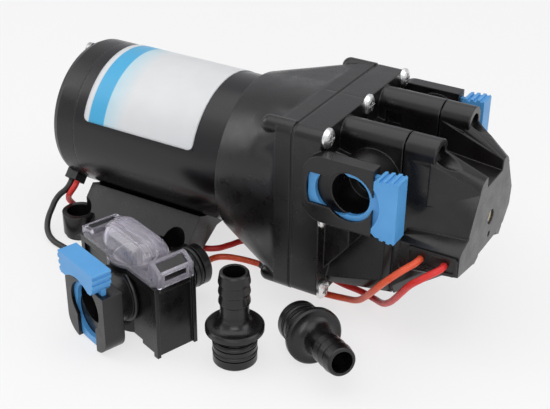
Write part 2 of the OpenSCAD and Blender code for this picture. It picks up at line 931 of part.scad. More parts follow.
// A strip along X from -back to front, with round corners at its back
module keyway_2d(back, front, half, corner) {
    side = half - corner;
    union() {
        translate([corner - back, -half])
            square([back - corner + front, 2 * half]);
        translate([-back, -side])
            square([back + front, 2 * side]);
        for (y = [-side, side])
            translate([corner - back, y])
                circle(r = corner);
    }
}

// Everything that a clip socket cuts away: window, clip slot and bore, with the window's back end at a radius
module socket_cut(depth, window_end) {
    rotate([-90, 0, 0])
        union() {
            translate([0, 0, -over])
                cylinder(h = sock_wall + over + 0.1, r = window_r);
            translate([0, 0, sock_wall])
                cylinder(h = depth - sock_wall, d = port_bore_d);
        }
    intersection() {
        box([-sock_end - over, -over, -window_half], [0, sock_wall + sock_slot_w, window_half]);
        translate([0, -2 * over, 0])
            rotate([-90, 0, 0])
                cylinder(h = sock_back, r = window_end);
    }
    translate([0, sock_wall + sock_slot_w, 0])
        rotate([90, 0, 0])
            linear_extrude(sock_slot_w)
                keyway_2d(sock_end, sock_front + over, sock_slot_half, slot_corner);
}

// A clip: a keyhole plate with a waisted, ribbed grip
module clip() {
    plate_y = sock_wall + (sock_slot_w - clip_t) / 2;
    color(clip_blue)
        union() {
            translate([0, plate_y + clip_t, 0])
                rotate([90, 0, 0])
                    linear_extrude(clip_t)
                        difference() {
                            keyway_2d(clip_end, grip_from + 1.5, clip_half, slot_corner - slide_gap);
                            circle(r = clip_lock_r);
                            translate([-clip_travel, 0])
                                circle(r = clip_open_r);
                        }
            translate([grip_from, grip_t - grip_proud, 0])
                rotate([90, 0, 0])
                    linear_extrude(grip_t)
                        grip_2d();
        }
}

// Outline of the grip: waisted beside the port, with ribs at both ends
module grip_2d() {
    half = grip_len / 2;
    difference() {
        polygon([[0, -half + 3.5], [3, -half + 1.2], [grip_w - 1, -half], [grip_w, -half + 1], [grip_w, half - 1],
            [grip_w - 1, half], [1, half - 1], [0, half - 2]]);
        translate([grip_waist_depth - grip_waist_r, 0])
            circle(r = grip_waist_r);
        for (k = [0:rib_count - 1], side = [-1, 1])
            translate([grip_w - rib_w - k * rib_pitch, side * half])
                square([rib_pitch - rib_w, 2 * (rib_depth + 0.5 * k)], center = true);
    }
}

// Places of the two port sockets
module at_near_port() {
    translate([x_port, -port_y, axis_z + port_z])
        children();
}

module at_far_port() {
    mirror([0, 1, 0])
        at_near_port()
            children();
}

module pump_head() {
    color(dark_plastic)
        difference() {
            union() {
                ext_x(x_head, x_flange)
                    flange_2d();
                difference() {
                    loft(x_flange - over, head_section, x_cover, split_section);
                    for (side = [-1, 1])
                        under_port(side);
                }
                for (side = [-1, 1]) {
                    cyl_x(x_flange - over, x_cover, tube_r, side * tube_y, tube_z);
                    ext_x(x_flange - over, x_cover)
                        translate([side * tube_y - tube_r, web_z])
                            square([2 * tube_r, tube_z - web_z]);
                    cheek(side);
                }
                at_near_port()
                    port_socket();
                at_far_port()
                    port_socket();
            }
            cyl_x(x_head - over, x_valve_plate_end, valve_plate_r + fit);
            difference() {
                cyl_x(x_valve_plate_end - over, x_gallery_end, gallery_r);
                box([x_valve_plate_end - 2 * over, -gallery_wall / 2, axis_z - gallery_r - over],
                    [x_cover, gallery_wall / 2, axis_z + gallery_r + over]);
            }
            valve_relief();
            translate([0, passage_r, 0])
                cyl_x(x_gallery_end - over, x_cover + over, passage_r / 3);
            flange_holes(x_flange + over, screw_d + 2 * fit);
            around(middle_angles, middle_r)
                cyl_x(x_flange, x_cover, screw_head_d / 2 + 0.6);
            at_near_port()
                socket_passage();
            at_far_port()
                socket_passage();
            for (side = [-1, 1]) {
                cyl_x(x_flange, x_cover + over, cover_screw_d / 2 + fit, side * tube_y, tube_z);
                cyl_x(x_flange + 4, x_cover + over, cover_screw_d / 2 + fit, side * lower_screw_y, lower_screw_z);
                web_pocket(side);
            }
        }
}

// A port's socket on its neck
module port_socket() {
    union() {
        socket_block(sock_back, sock_rim);
        translate([0, sock_back - over, 0])
            rotate([-90, 0, 0])
                cylinder(h = port_y - sock_back - tube_y, r = neck_tube_r);
    }
}

// The recess under a port, with a sloping floor
module under_port(side) {
    reach = 2 * recess_y;
    ext_x(x_flange, x_cover - seam_rim)
        polygon(flipped([[recess_y, recess_z[1]], [reach, recess_z[1]],
            [reach, recess_z[0] - (reach - recess_y) / recess_slope], [recess_y, recess_z[0]]], side));
}

// The gusset under a port, running down to the flange
module cheek(side) {
    y = side * cheek_y;
    translate([0, max(y, y - side * cheek_y / 2), axis_z])
        rotate([90, 0, 0])
            linear_extrude(cheek_y / 2)
                polygon([[x_flange - over, cheek_root - over], [x_flange, cheek_root], [x_cheek, cheek_low],
                    [x_cheek, port_z - sock_half + over], [x_flange - over, port_z - sock_half + over]]);
}

// A moulded pocket in the inner face of a tube's web
module web_pocket(side) {
    web_y = side * (tube_y - tube_r);
    translate([web_pocket_x[0], web_y, axis_z + web_pocket_z[0]])
        translate([0, -web_pocket_depth, 0])
            cube([web_pocket_x[1] - web_pocket_x[0], 2 * web_pocket_depth, web_pocket_z[1] - web_pocket_z[0]]);
}

// Room for the outlet valves to lift inside the head
module valve_relief() {
    around(corner_angles, piston_ring_r)
        translate([0, valve_offset, 0])
            cyl_x(x_valve_plate_end - over, x_valve_plate_end + valve_t + 2, valve_r + 0.6);
}

// A socket's cuts with the passage from its bore to the gallery
module socket_passage() {
    socket_cut(sock_depth, sock_end);
    rotate([-90, 0, 0])
        cylinder(h = port_y - tube_y + tube_r - over, r = passage_r);
}

// Front cover

module front_cover() {
    x0 = x_cover + gasket_t;
    ridge_low = 12;
    ridge_start = [[tube_y - tube_r, 10], [tube_y + tube_r, 10], [tube_y + tube_r, tube_z],
        [tube_y - tube_r, tube_z]];
    tube_end = x_cover + tube_len;
    ridge_mid = [[tube_y - tube_r, ridge_low], [tube_y + tube_r, ridge_low], [tube_y + tube_r, tube_z - 2.5],
        [tube_y + 5, tube_z], [tube_y - 5, tube_z + 0.5], [tube_y - tube_r, tube_z - 2]];
    ridge_end = [[9, ridge_low], [17.9, ridge_low], [17.9, 20.6], [15.8, 23.6], [12.2, 25], [9.6, 24.6]];
    lower_start = [[8, -20], [30, -20], [30.5, -31], [26, -37.8], [9, -36.5]];
    lower_end = [[11, -10], [18, -10], [18, -14], [15.4, -17], [11.4, -15]];
    lobe_start = [[-lobe_y, -3], [-33.5, -0.6], [-24, 1], [-20, -24], [-33, -19], [-lobe_y, -16.5]];
    lobe_end = [[-lobe_y, -2.8], [-33.5, -0.8], [-24, 1.9], [-14, -10], [-15, -16.6], [-26.3, -13.4],
        [-lobe_y, -13]];
    color(dark_plastic)
        difference() {
            union() {
                loft(x0, split_section, x_nose, nose_section);
                for (side = [-1, 1]) {
                    loft(x0, flipped(ridge_start, side), x_nose, flipped(ridge_end, side));
                    loft(tube_end - 2, flipped(ridge_mid, side), x_nose, flipped(ridge_end, side));
                    loft(x0, flipped(lower_start, side), x_nose, flipped(lower_end, side));
                    cyl_x(x0, tube_end, tube_r, side * tube_y, tube_z);
                }
                loft(x_lobe, lobe_start, x_nose, lobe_end);
            }
            cyl_x(x_cover, x_switch_end, switch_bore_r);
            cyl_x(x_switch_end - over, x_nose + over, adjuster_d / 2 + 0.1);
            translate([0, 0, -9])
                cyl_x(x_nose - 6, x_nose + over, 1.4);
            box([x_lobe + 3, -lobe_y + 3, axis_z + switch_low], [x_nose - 4, -lobe_y + 14, axis_z - 4]);
            for (side = [-1, 1]) {
                cyl_x(x_cover, x_cover_screw_head, cover_screw_d / 2 + fit, side * tube_y, tube_z);
                cyl_x(x_cover_screw_head, x_nose, cover_screw_head_d / 2 + 1.2, side * tube_y, tube_z - 1);
                cyl_x(x_cover, x_lower_screw_head + over, cover_screw_d / 2 + fit, side * lower_screw_y,
                    lower_screw_z);
                cyl_x(x_lower_screw_head, x_nose, cover_screw_head_d / 2 + 0.6, side * lower_screw_y, lower_screw_z);
            }
            for (x = lead_x)
                translate([x, -lobe_y + 4, lead_exit_z])
                    rotate([90, 0, 0])
                        cylinder(h = 6, r = lead_r + 0.2);
        }
}

module cover_gasket() {
    color(rubber)
        difference() {
            ext_x(x_cover, x_cover + gasket_t)
                polygon(split_section * 0.985);
            for (side = [-1, 1])
                cyl_x(x_cover - over, x_cover + gasket_t + over, cover_screw_d / 2 + fit, side * lower_screw_y,
                    lower_screw_z);
        }
}

module flange_screws() {
    color(steel) {
        around(corner_angles, corner_r)
            pan_screw(x_flange, screw_len, screw_d, screw_head_d, screw_head_t);
        around(middle_angles, middle_r)
            pan_screw(x_flange, middle_screw_len, screw_d, screw_head_d, screw_head_t);
    }
}

module cover_screws() {
    color(steel)
        for (side = [-1, 1]) {
            translate([0, side * tube_y, tube_z])
                pan_screw(x_cover_screw_head, x_cover_screw_head - x_flange - 2, cover_screw_d, cover_screw_head_d,
                    screw_head_t);
            translate([0, side * lower_screw_y, lower_screw_z])
                pan_screw(x_lower_screw_head, x_lower_screw_head - x_flange - 6, cover_screw_d, cover_screw_head_d,
                    screw_head_t);
        }
}

module near_clip() {
    at_near_port()
        clip();
}

module far_clip() {
    at_far_port()
        clip();
}

// Pressure switch

module lead_plate() {
    recess = lead_plate_t - lead_panel_t;
    color(black_plastic)
        translate([lead_plate_at.x, -lobe_y, axis_z + lead_plate_at.y])
            rotate([90, 0, 0])
                difference() {
                    linear_extrude(lead_plate_t)
                        rounded_2d(lead_plate_size, lead_plate_corner);
                    translate([lead_plate_rim, lead_plate_rim, lead_plate_t - recess])
                        linear_extrude(recess + over)
                            rounded_2d(lead_plate_size - 2 * lead_plate_rim * [1, 1],
                                lead_plate_corner - lead_plate_rim / 2);
                }
}

module microswitch() {
    color([0.2, 0.2, 0.22])
        box([x_lobe + 4, -lobe_y + 4.6, axis_z + switch_low], [x_nose - 12, -lobe_y + 13, axis_z - 5]);
}

module switch_plunger() {
    color([0.85, 0.84, 0.8])
        union() {
            cyl_x(x_plunger + 0.2, x_plunger + plunger_flange_t, plunger_flange_r);
            cyl_x(x_plunger + over, x_plunger + plunger_len, plunger_r);
        }
}

module switch_spring() {
    steps = 12;
    x0 = x_plunger + plunger_flange_t + spring_wire_r + 0.3;
    x1 = x_adjuster - 1 - spring_wire_r - 0.2;
    route = [for (k = [0:steps * spring_turns])
        [x0 + (x1 - x0) * k / (steps * spring_turns), spring_r * cos(360 * k / steps),
            axis_z + spring_r * sin(360 * k / steps)]];
    color(steel)
        tube(route, spring_wire_r, 6);
}

module adjusting_screw() {
    socket_d = 3.4;
    color([0.78, 0.72, 0.55])
        difference() {
            cyl_x(x_adjuster, x_adjuster + adjuster_len, adjuster_d / 2);
            translate([x_adjuster + adjuster_len - 2.5, 0, axis_z])
                rotate([0, 90, 0])
                    cylinder(h = 4, d = socket_d, $fn = 6);
        }
}

// Leads

module red_lead() {
    color([0.85, 0.12, 0.1])
        tube(red_route, lead_r, lead_sides);
}

module orange_lead() {
    color([0.95, 0.36, 0.2])
        tube(orange_route, lead_r, lead_sides);
}

module black_lead() {
    color(rubber)
        tube(black_route, lead_r, lead_sides);
}

module splice_sleeve() {
    color(rubber)
        difference() {
            tube([sleeve_at, sleeve_at + sleeve_way], sleeve_r, 12);
            tube([sleeve_at - sleeve_way, sleeve_at + 2 * sleeve_way], lead_r + 0.1, 12);
        }
}

module bared_ends() {
    orange_end = orange_route[len(orange_route) - 1];
    black_end = black_route[len(black_route) - 1];
    color(copper)
        union() {
            translate(orange_end)
                rotate([0, -90, 0])
                    cylinder(h = bared_len, r = bared_r);
            translate(black_end)
                rotate([0, 90, 0])
                    cylinder(h = bared_len, r = bared_r);
        }
}

// Hose tails

// Profile of the plug with its O-ring grooves, up to the flange, as points of radius and height
plug_profile = concat([[plug_r - 0.8, 0], [plug_r, 0.8]],
    [for (z = oring_heights) each [[plug_r, z - oring_groove_w / 2], [oring_groove_r, z - oring_groove_w / 2],
        [oring_groove_r, z + oring_groove_w / 2], [plug_r, z + oring_groove_w / 2]]],
    [[plug_r, neck_z], [neck_r, neck_z], [neck_r, tail_flange_z]]);

module hose_tail() {
    flange_top = tail_flange_z + tail_flange_t;
    root = [for (a = [0:10:90]) [barb_root_r + tail_root_r * (1 - sin(a)), flange_top + tail_root_r * (1 - cos(a))]];
    barb_low = tail_len - 5 - (barb_count - 1) * barb_pitch;
    barbs = [for (k = [0:barb_count - 1]) each [[barb_root_r, barb_low + k * barb_pitch - 0.9],
        [barb_d / 2, barb_low + k * barb_pitch - 0.2], [barb_d / 2, barb_low + k * barb_pitch + 0.5]]];
    rotate_extrude()
        polygon(concat([[tail_bore_d / 2, 0]], plug_profile, [[tail_flange_r, tail_flange_z],
            [tail_flange_r, flange_top - tail_bevel], [tail_flange_r - tail_bevel, flange_top]],
            root, barbs, [[mouth_r, tail_len - 0.6], [mouth_r - 0.5, tail_len], [tail_bore_d / 2, tail_len]]));
}

module orings() {
    for (z = oring_heights)
        translate([0, 0, z])
            rotate_extrude()
                translate([oring_mid_r, 0])
                    circle(r = oring_r);
}

module at_standing() {
    translate([standing_at.x, standing_at.y, 0])
        children();
}

// The lying tail rests on its flange's rim and its plug's end
module at_lying() {
    drop = tail_flange_r * cos(lying_tilt);
    translate([lying_at.x, lying_at.y, drop])
        rotate([0, 0, lying_turn])
            rotate([0, 90 - lying_tilt, 0])
                translate([0, 0, -tail_flange_z])
                    children();
}

module standing_tail() {
    color(black_plastic)
        at_standing()
            hose_tail();
}

module standing_tail_orings() {
    color(rubber)
        at_standing()
            orings();
}

module lying_tail() {
    color(black_plastic)
        at_lying()
            hose_tail();
}

module lying_tail_orings() {
    color(rubber)
        at_lying()
            orings();
}

// Strainer, in its own frame: X along the lid, Y from the socket to the plug

module at_strainer() {
    translate([strainer_at.x, strainer_at.y, 0])
        rotate([0, 0, strainer_turn])
            children();
}

// The clip socket stands upright, so that its clip lifts out
module at_strainer_socket() {
    translate(strainer_sock_at)
        rotate([0, -90, 0])
            children();
}

// The plug lies along Y with its end at the given place
module at_strainer_plug() {
    translate([0, strainer_plug_end, strainer_plug_z])
        rotate([90, 0, 0])
            children();
}

// Outline of the strainer's top flange and of its lid
module lid_2d() {
    half = strainer_len / 2 + 1.5;
    side = strainer_w / 2 + corner_rib_out;
    chamfer = 3;
    union() {
        polygon([[-half, -side + chamfer], [-half + chamfer, -side], [half - chamfer, -side], [half, -side + chamfer],
            [half, side - chamfer], [half - chamfer, side], [-half + chamfer, side], [-half, side - chamfer]]);
        circle(r = bowl_r + lid_rim);
    }
}

// The case round the bowl: flange, corner ribs, feet and the tongues that hold the lid
module strainer_body() {
    half = strainer_len / 2;
    side = strainer_w / 2;
    top = strainer_h;
    color(black_plastic)
        at_strainer()
            difference() {
                union() {
                    box([-half, -side, foot_t], [half, side, top]);
                    translate([0, 0, top - flange_t])
                        linear_extrude(flange_t)
                            lid_2d();
                    for (x = [-1, 1])
                        translate([x * (half - strainer_foot.x / 2), 0, strainer_foot.y / 2])
                            cube([strainer_foot.x, strainer_w, strainer_foot.y], center = true);
                    for (x = [-1, 1], y = [-1, 1])
                        translate([x * half, y * (side + corner_rib_out - corner_rib_t / 2), top / 2])
                            cube([2 * corner_rib_out, corner_rib_t, top], center = true);
                    latch_tongues();
                }
                translate([0, 0, -over])
                    cylinder(h = top - flange_t + over, r = bowl_r + fit);
                translate([0, 0, top - flange_t - over])
                    cylinder(h = flange_t + 2 * over, r = bowl_r - strainer_wall);
                translate([0, 0, top - seal_t])
                    cylinder(h = seal_t + over, r = bowl_r - 0.4);
                for (x = [-1, 1])
                    translate([x * (bowl_r + half) / 2, 0, (top - flange_t) / 2 - over])
                        cube([half - bowl_r - 2 * strainer_wall, strainer_w - 2 * strainer_wall, top - flange_t],
                            center = true);
            }
}

// The cup that holds the screen, with holes to the port and the plug
module strainer_bowl() {
    color(black_plastic)
        at_strainer()
            difference() {
                translate([0, 0, foot_t])
                    cylinder(h = strainer_h - flange_t - fit - foot_t, r = bowl_r);
                translate([0, 0, foot_t + strainer_wall + 2])
                    cylinder(h = strainer_h, r = bowl_r - strainer_wall);
                translate([strainer_sock_at.x, 0, strainer_sock_at.z])
                    rotate([90, 0, 0])
                        cylinder(h = bowl_r + over, r = passage_r);
                translate([strainer_sock_at.x, strainer_bore_end, strainer_sock_at.z])
                    rotate([90, 0, 0])
                        cylinder(h = bowl_r, r = port_r);
                translate([0, 0, strainer_plug_z])
                    rotate([-90, 0, 0])
                        cylinder(h = bowl_r + over, d = tail_bore_d);
            }
}

// The outside of the case and the bowl, grown by a fit, which the port and the plug stand on
module strainer_outside() {
    union() {
        translate([-strainer_len / 2, -strainer_w / 2 - fit, 0])
            cube([strainer_len, strainer_w + 2 * fit, strainer_h]);
        cylinder(h = strainer_h, r = bowl_r + fit);
        translate([0, 0, strainer_h - flange_t - fit])
            linear_extrude(flange_t + 2 * fit)
                circle(r = bowl_r + lid_rim + fit);
    }
}

// The upright clip socket on its beaded neck
module strainer_port() {
    color(black_plastic)
        at_strainer()
            difference() {
                union() {
                    translate([strainer_sock_at.x, 0, strainer_sock_at.z])
                        rotate([90, 0, 0])
                            union() {
                                cylinder(h = -strainer_sock_at.y - strainer_sock_depth + over, r = neck_tube_r);
                                translate([0, 0, strainer_w / 2 + neck_bead_r])
                                    rotate_extrude()
                                        translate([neck_tube_r, 0])
                                            circle(r = neck_bead_r);
                            }
                    at_strainer_socket()
                        socket_block(strainer_sock_depth, 0);
                }
                strainer_outside();
                at_strainer_socket()
                    socket_cut(strainer_bore_depth, 2 * sock_end);
                translate([strainer_sock_at.x, 0, strainer_sock_at.z])
                    rotate([90, 0, 0])
                        cylinder(h = -strainer_sock_at.y, r = passage_r);
            }
}

// The plug that goes into a port
module strainer_plug() {
    color(black_plastic)
        at_strainer()
            difference() {
                at_strainer_plug()
                    difference() {
                        rotate_extrude()
                            polygon(concat([[0, 0]], plug_profile, [[neck_r + 3, tail_flange_z],
                                [neck_r + 3, strainer_plug_end], [0, strainer_plug_end]]));
                        translate([0, 0, -over])
                            cylinder(h = strainer_plug_end + 2 * over, d = tail_bore_d);
                    }
                strainer_outside();
            }
}

// A section drawn along and up at one end of the lid, carried across it
module at_lid_end(turn, half_width) {
    rotate([0, 0, turn])
        translate([0, half_width, strainer_h])
            rotate([90, 0, 0])
                linear_extrude(2 * half_width)
                    children();
}

// The body's tongues, which hold the lid
module latch_tongues() {
    at_lid_end(0, latch_half)
        polygon([[latch_x[0], -over], [latch_x[1], -over], [latch_x[1], latch_h[1]], [latch_x[0], latch_h[0]]]);
    at_lid_end(180, latch_half)
        polygon([[latch_x[0], -over], [latch_x[1], -over], [latch_x[1], hook_tongue_h],
            [latch_x[0], hook_tongue_h]]);
}

module strainer_lid() {
    top = strainer_h;
    hole_x = [latch_x[0] - slide_gap, latch_x[1] + slide_gap];
    color([0.85, 0.84, 0.92, 0.4])
        at_strainer()
            difference() {
                union() {
                    translate([0, 0, top])
                        linear_extrude(lid_flange_t)
                            lid_2d();
                    dome(dome_h - dome_wall - dome_rib_h, dome_wall);
                    intersection() {
                        dome(dome_h - dome_wall, dome_wall);
                        for (y = dome_ribs)
                            translate([-strainer_len / 2, y - dome_rib_w / 2, top + dome_wall + dome_rib_z])
                                cube([strainer_len, dome_rib_w, dome_h]);
                    }
                    at_lid_end(0, hood_half)
                        polygon([[hood_x[0], 0], [hood_x[1], 0], [hood_x[1], hood_h[1]], [latch_x[0], hood_h[0]],
                            [hood_x[0], hood_h[0]]]);
                    at_lid_end(180, hood_half)
                        polygon([[hood_x[0], 0], [hood_x[1], 0], [hood_x[1], hook_h[1]], [hood_x[0], hook_h[0]]]);
                }
                dome(dome_h - dome_wall - dome_rib_h - lid_wall, dome_wall);
                for (turn = [0, 180])
                    at_lid_end(turn, latch_half + slide_gap)
                        polygon([[hole_x[0], -over], [hole_x[1], -over], [hole_x[1], hood_h[0] + over],
                            [hole_x[0], hood_h[0] + over]]);
                at_lid_end(0, latch_half - over)
                    polygon([[latch_x[1], hood_slot_z[0]], [hood_x[1] + over, hood_slot_z[0]],
                        [hood_x[1] + over, hood_slot_z[1]], [latch_x[1], hood_slot_z[1]]]);
            }
}

// The lid's long dome over upright walls
module dome(r, wall) {
    translate([0, 0, strainer_h])
        intersection() {
            translate([0, 0, wall])
                union() {
                    for (x = [-1, 1])
                        translate([x * dome_len, 0, 0])
                            union() {
                                sphere(r = r);
                                translate([0, 0, -wall - over])
                                    cylinder(h = wall + over, r = r);
                            }
                    rotate([0, 90, 0])
                        cylinder(h = 2 * dome_len, r = r, center = true);
                    translate([-dome_len, -r, -wall - over])
                        cube([2 * dome_len, 2 * r, wall + over]);
                }
            translate([-strainer_len, -strainer_len, 0])
                cube([2 * strainer_len, 2 * strainer_len, strainer_len]);
        }
}

module lid_seal() {
    color(rubber)
        at_strainer()
            translate([0, 0, strainer_h - seal_t])
                difference() {
                    cylinder(h = seal_t, r = bowl_r - 0.4 - fit);
                    translate([0, 0, -over])
                        cylinder(h = seal_t + 2 * over, r = bowl_r - strainer_wall);
                }
}

module strainer_screen() {
    z0 = foot_t + strainer_wall + 2;
    color([0.55, 0.57, 0.6])
        at_strainer()
            difference() {
                translate([0, 0, z0])
                    cylinder(h = strainer_h - seal_t - z0, r = screen_r);
                translate([0, 0, z0 + 1])
                    cylinder(h = strainer_h, r = screen_r - screen_wall);
                for (k = [0:screen_slots - 1])
                    rotate([0, 0, 360 * k / screen_slots])
                        translate([screen_r - 2, -screen_slot_w / 2, z0 + 3])
                            cube([4, screen_slot_w, strainer_h - z0 - 8]);
            }
}

module strainer_clip() {
    at_strainer()
        at_strainer_socket()
            clip();
}

module strainer_orings() {
    color(rubber)
        at_strainer()
            at_strainer_plug()
                orings();
}

motor_can();
rear_end_cap();
front_end_plate();
field_magnets();
rotor_core();
rotor_windings();
commutator();
motor_shaft();
rear_bearing();
front_bearing();
carbon_brushes();
brush_card();
tie_bolts();
rating_label();
lead_grommet();
base_saddle();
rubber_feet();
saddle_screws();
bell_housing();
eccentric_hub();
cam_bearing();
drive_plate();
piston_caps();
diaphragm();
valve_plate();
inlet_valves();
outlet_valves();
pump_head();
front_cover();
cover_gasket();
flange_screws();
cover_screws();
near_clip();
far_clip();
lead_plate();
microswitch();
switch_plunger();
switch_spring();
adjusting_screw();
red_lead();
orange_lead();
black_lead();
splice_sleeve();
bared_ends();
strainer_body();
strainer_bowl();
strainer_port();
strainer_plug();
strainer_lid();
lid_seal();
strainer_screen();
strainer_clip();
strainer_orings();
standing_tail();
standing_tail_orings();
lying_tail();
lying_tail_orings();
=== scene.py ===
import json
import math

import bmesh
import bpy
from mathutils import Matrix, Vector


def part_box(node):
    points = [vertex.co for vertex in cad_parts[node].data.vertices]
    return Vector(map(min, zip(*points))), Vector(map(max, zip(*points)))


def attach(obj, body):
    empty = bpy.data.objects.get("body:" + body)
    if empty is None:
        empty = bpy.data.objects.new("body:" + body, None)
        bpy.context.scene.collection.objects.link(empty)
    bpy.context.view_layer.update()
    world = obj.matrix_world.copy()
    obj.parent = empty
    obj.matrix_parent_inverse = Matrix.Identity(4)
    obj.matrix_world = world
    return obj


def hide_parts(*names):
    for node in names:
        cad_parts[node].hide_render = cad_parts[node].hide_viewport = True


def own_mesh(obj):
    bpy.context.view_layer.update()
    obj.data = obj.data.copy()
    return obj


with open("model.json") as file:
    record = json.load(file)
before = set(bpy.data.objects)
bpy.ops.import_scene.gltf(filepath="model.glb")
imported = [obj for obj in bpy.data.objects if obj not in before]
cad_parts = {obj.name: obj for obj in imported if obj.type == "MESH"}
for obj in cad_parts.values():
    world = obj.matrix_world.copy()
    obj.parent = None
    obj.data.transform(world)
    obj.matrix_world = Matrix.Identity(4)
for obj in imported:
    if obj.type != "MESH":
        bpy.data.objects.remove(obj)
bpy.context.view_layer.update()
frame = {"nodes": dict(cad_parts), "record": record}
nodes = frame["nodes"]
MM = 0.001

# The camera: its place in millimetres, its azimuth, elevation and roll in degrees, and its lens
CAMERA_AT = (310.65, -417.02, 304.05)
CAMERA_ANGLES = (30.18, 29.73, 0.7)
SENSOR_MM = 36
LENS_MM = 71.285

# Sizes shared with the part, in millimetres
AXIS_Z = 56.0
LEAD_R = 1.6
SLEEVE_R = 2.5
BARED_R = 1.0
BARED_LEN = 8.0
LABEL_X = (-23.0, 43.0)
LABEL_R = 38.28
LABEL_TURN = (18.0, 150.0)
LABEL_CORNER_R = 3.4

# The label's blue band and the end of its fade, as shares of its length
BAND_FROM = 0.05
BAND_TO = 0.192
FADE_TO = 0.37
BAND_EDGE = 0.001

# Lofted mouldings and their finishes, the angle from which an edge stays sharp, and the weld in metres
LOFTED = {"bell_housing": "bell_plastic", "pump_head": "housing_plastic", "front_cover": "housing_plastic"}
LOFT_EDGE_DEG = 26
LOFT_WELD = 2e-6

# The pressure switch's spring: its radius, its wire's radius and its turns
SPRING_R = 5.6
SPRING_WIRE_R = 0.6
SPRING_TURNS = 5

# Round wires: sides of their section, strands round the middle one and their twist in degrees
WIRE_SIDES = 10
OUTER_STRANDS = 6
STRAND_TWIST = 200

# The bell's cone: slope, radius up to which it is bare, end along the motor, and its share in the shading
CONE_SLOPE = 0.25
CONE_R = 52.5
CONE_END_X = 93.4
CONE_SHARE = 0.65

# Light: the floor's share of plain white, the room's level and what the backdrop adds to it, both as seen
FLOOR_WHITE = 0.68
ROOM_LEVEL = 0.2
ROOM_SEEN = 0.45

# Soft lamps: name, place, width and height in metres, and watts, all aimed at the middle of the pump
LAMP_AIM = (0.07, -0.01, 0.05)
LAMPS = (
    ("overhead_lamp", (0.05, 0.0, 1.2), 1.9, 1.5, 10),
    ("front_lamp", (0.75, -1.25, 0.8), 1.2, 0.8, 7),
    ("left_lamp", (-1.1, -0.45, 0.7), 0.8, 0.8, 4),
    ("right_lamp", (1.2, 0.25, 0.7), 0.8, 0.8, 3),
)

# Routes of the leads, in millimetres
ORANGE_ROUTE = [
    (163.4, -36.7, 47.7), (163.4, -39, 47.7), (162.4, -41.4, 47), (159.8, -43.4, 45),
    (156, -44.4, 41.2), (150.6, -44, 35), (143.4, -40, 25.3), (136.4, -33, 15.4),
    (128.5, -26, 6.6), (121, -22.3, 2.8), (114, -22.4, 2), (105, -23.2, 1.9),
    (96, -22, 2), (86, -19.6, 2.6), (79.446, -18.588, 2.6), (70.5, -17.6, 2.6),
    (64, -17.2, 2.2), (57, -17.8, 1.9), (50.6, -19.6, 1.8), (46.6, -22.8, 1.8),
    (44.8, -28, 1.8), (44.4, -35, 1.8), (43.2, -42, 1.8), (39.2, -48, 1.8),
    (32, -51.6, 1.8), (23, -52.4, 1.8), (14, -52.4, 1.8), (5, -52.4, 1.8),
]
RED_ROUTE = [
    (174.7, -36.7, 47.7), (174.7, -39, 47.7), (173.6, -41.6, 47.2), (171, -43.4, 45.4),
    (167, -44.4, 42), (162.6, -43.6, 37.4), (157.6, -40.4, 30), (152, -34.6, 21),
    (146, -27.6, 12.4), (140, -20.8, 6), (133.5, -15, 2.6), (125, -11.8, 1.9),
    (112, -10, 1.8), (96, -5, 1.8), (80, 1, 1.8), (66, 4.4, 1.8), (56, 3, 1.8),
    (49.6, -2, 1.8), (46, -9, 1.8), (41.6, -15.6, 1.8), (34, -19, 1.8),
    (20, -19.6, 1.8), (4, -19.4, 1.8), (-12, -19.4, 1.8), (-26, -20, 1.8),
    (-35.4, -21.6, 2.6), (-41.4, -24.6, 6), (-43.4, -28.6, 11), (-42, -31.6, 16),
    (-39, -32.4, 20.4), (-37.7, -30.281, 23.528), (-37.7, -28.644, 25.283),
]
BLACK_ROUTE = [
    (-41.3, -28.644, 25.283), (-41.3, -30.281, 23.528), (-42.6, -32.6, 20.6),
    (-45, -34.8, 18), (-46.4, -37.4, 15), (-46.4, -40.4, 12), (-46, -43.8, 9),
    (-44.4, -47.4, 6), (-41.2, -50.8, 3.6), (-36, -53.6, 2.2), (-28, -55.6, 1.8),
    (-18, -57, 1.8), (-6, -57.6, 1.8), (6, -57.6, 1.8), (18, -57.6, 1.8),
    (28, -57.6, 1.8),
]
SLEEVE_ENDS = ((70.5, -17.6, 2.6), (79.446, -18.588, 2.6))


# Camera
def aim_camera():
    """The camera at the photograph's viewing angle."""
    azimuth, elevation, roll = (math.radians(a) for a in CAMERA_ANGLES)
    forward = Vector((
        -math.sin(azimuth) * math.cos(elevation),
        math.cos(azimuth) * math.cos(elevation),
        -math.sin(elevation),
    ))
    level = Vector((math.cos(azimuth), math.sin(azimuth), 0))
    rise = level.cross(forward)
    side = level * math.cos(roll) + rise * math.sin(roll)
    top = rise * math.cos(roll) - level * math.sin(roll)
    lens = bpy.data.cameras.new("camera")
    lens.sensor_fit = "HORIZONTAL"
    lens.sensor_width = SENSOR_MM
    lens.lens = LENS_MM
    lens.clip_start = 0.01
    camera = bpy.data.objects.new("camera", lens)
    turn = Matrix((side, top, -forward)).transposed().to_4x4()
    camera.matrix_world = Matrix.Translation(Vector(CAMERA_AT) * MM) @ turn
    bpy.context.scene.collection.objects.link(camera)
    bpy.context.scene.camera = camera


# Node helpers
def start_finish(name):
    """A new material with its tree and its main shader."""
    finish = bpy.data.materials.new(name)
    finish.use_nodes = True
    tree = finish.node_tree
    return finish, tree, tree.nodes["Principled BSDF"]


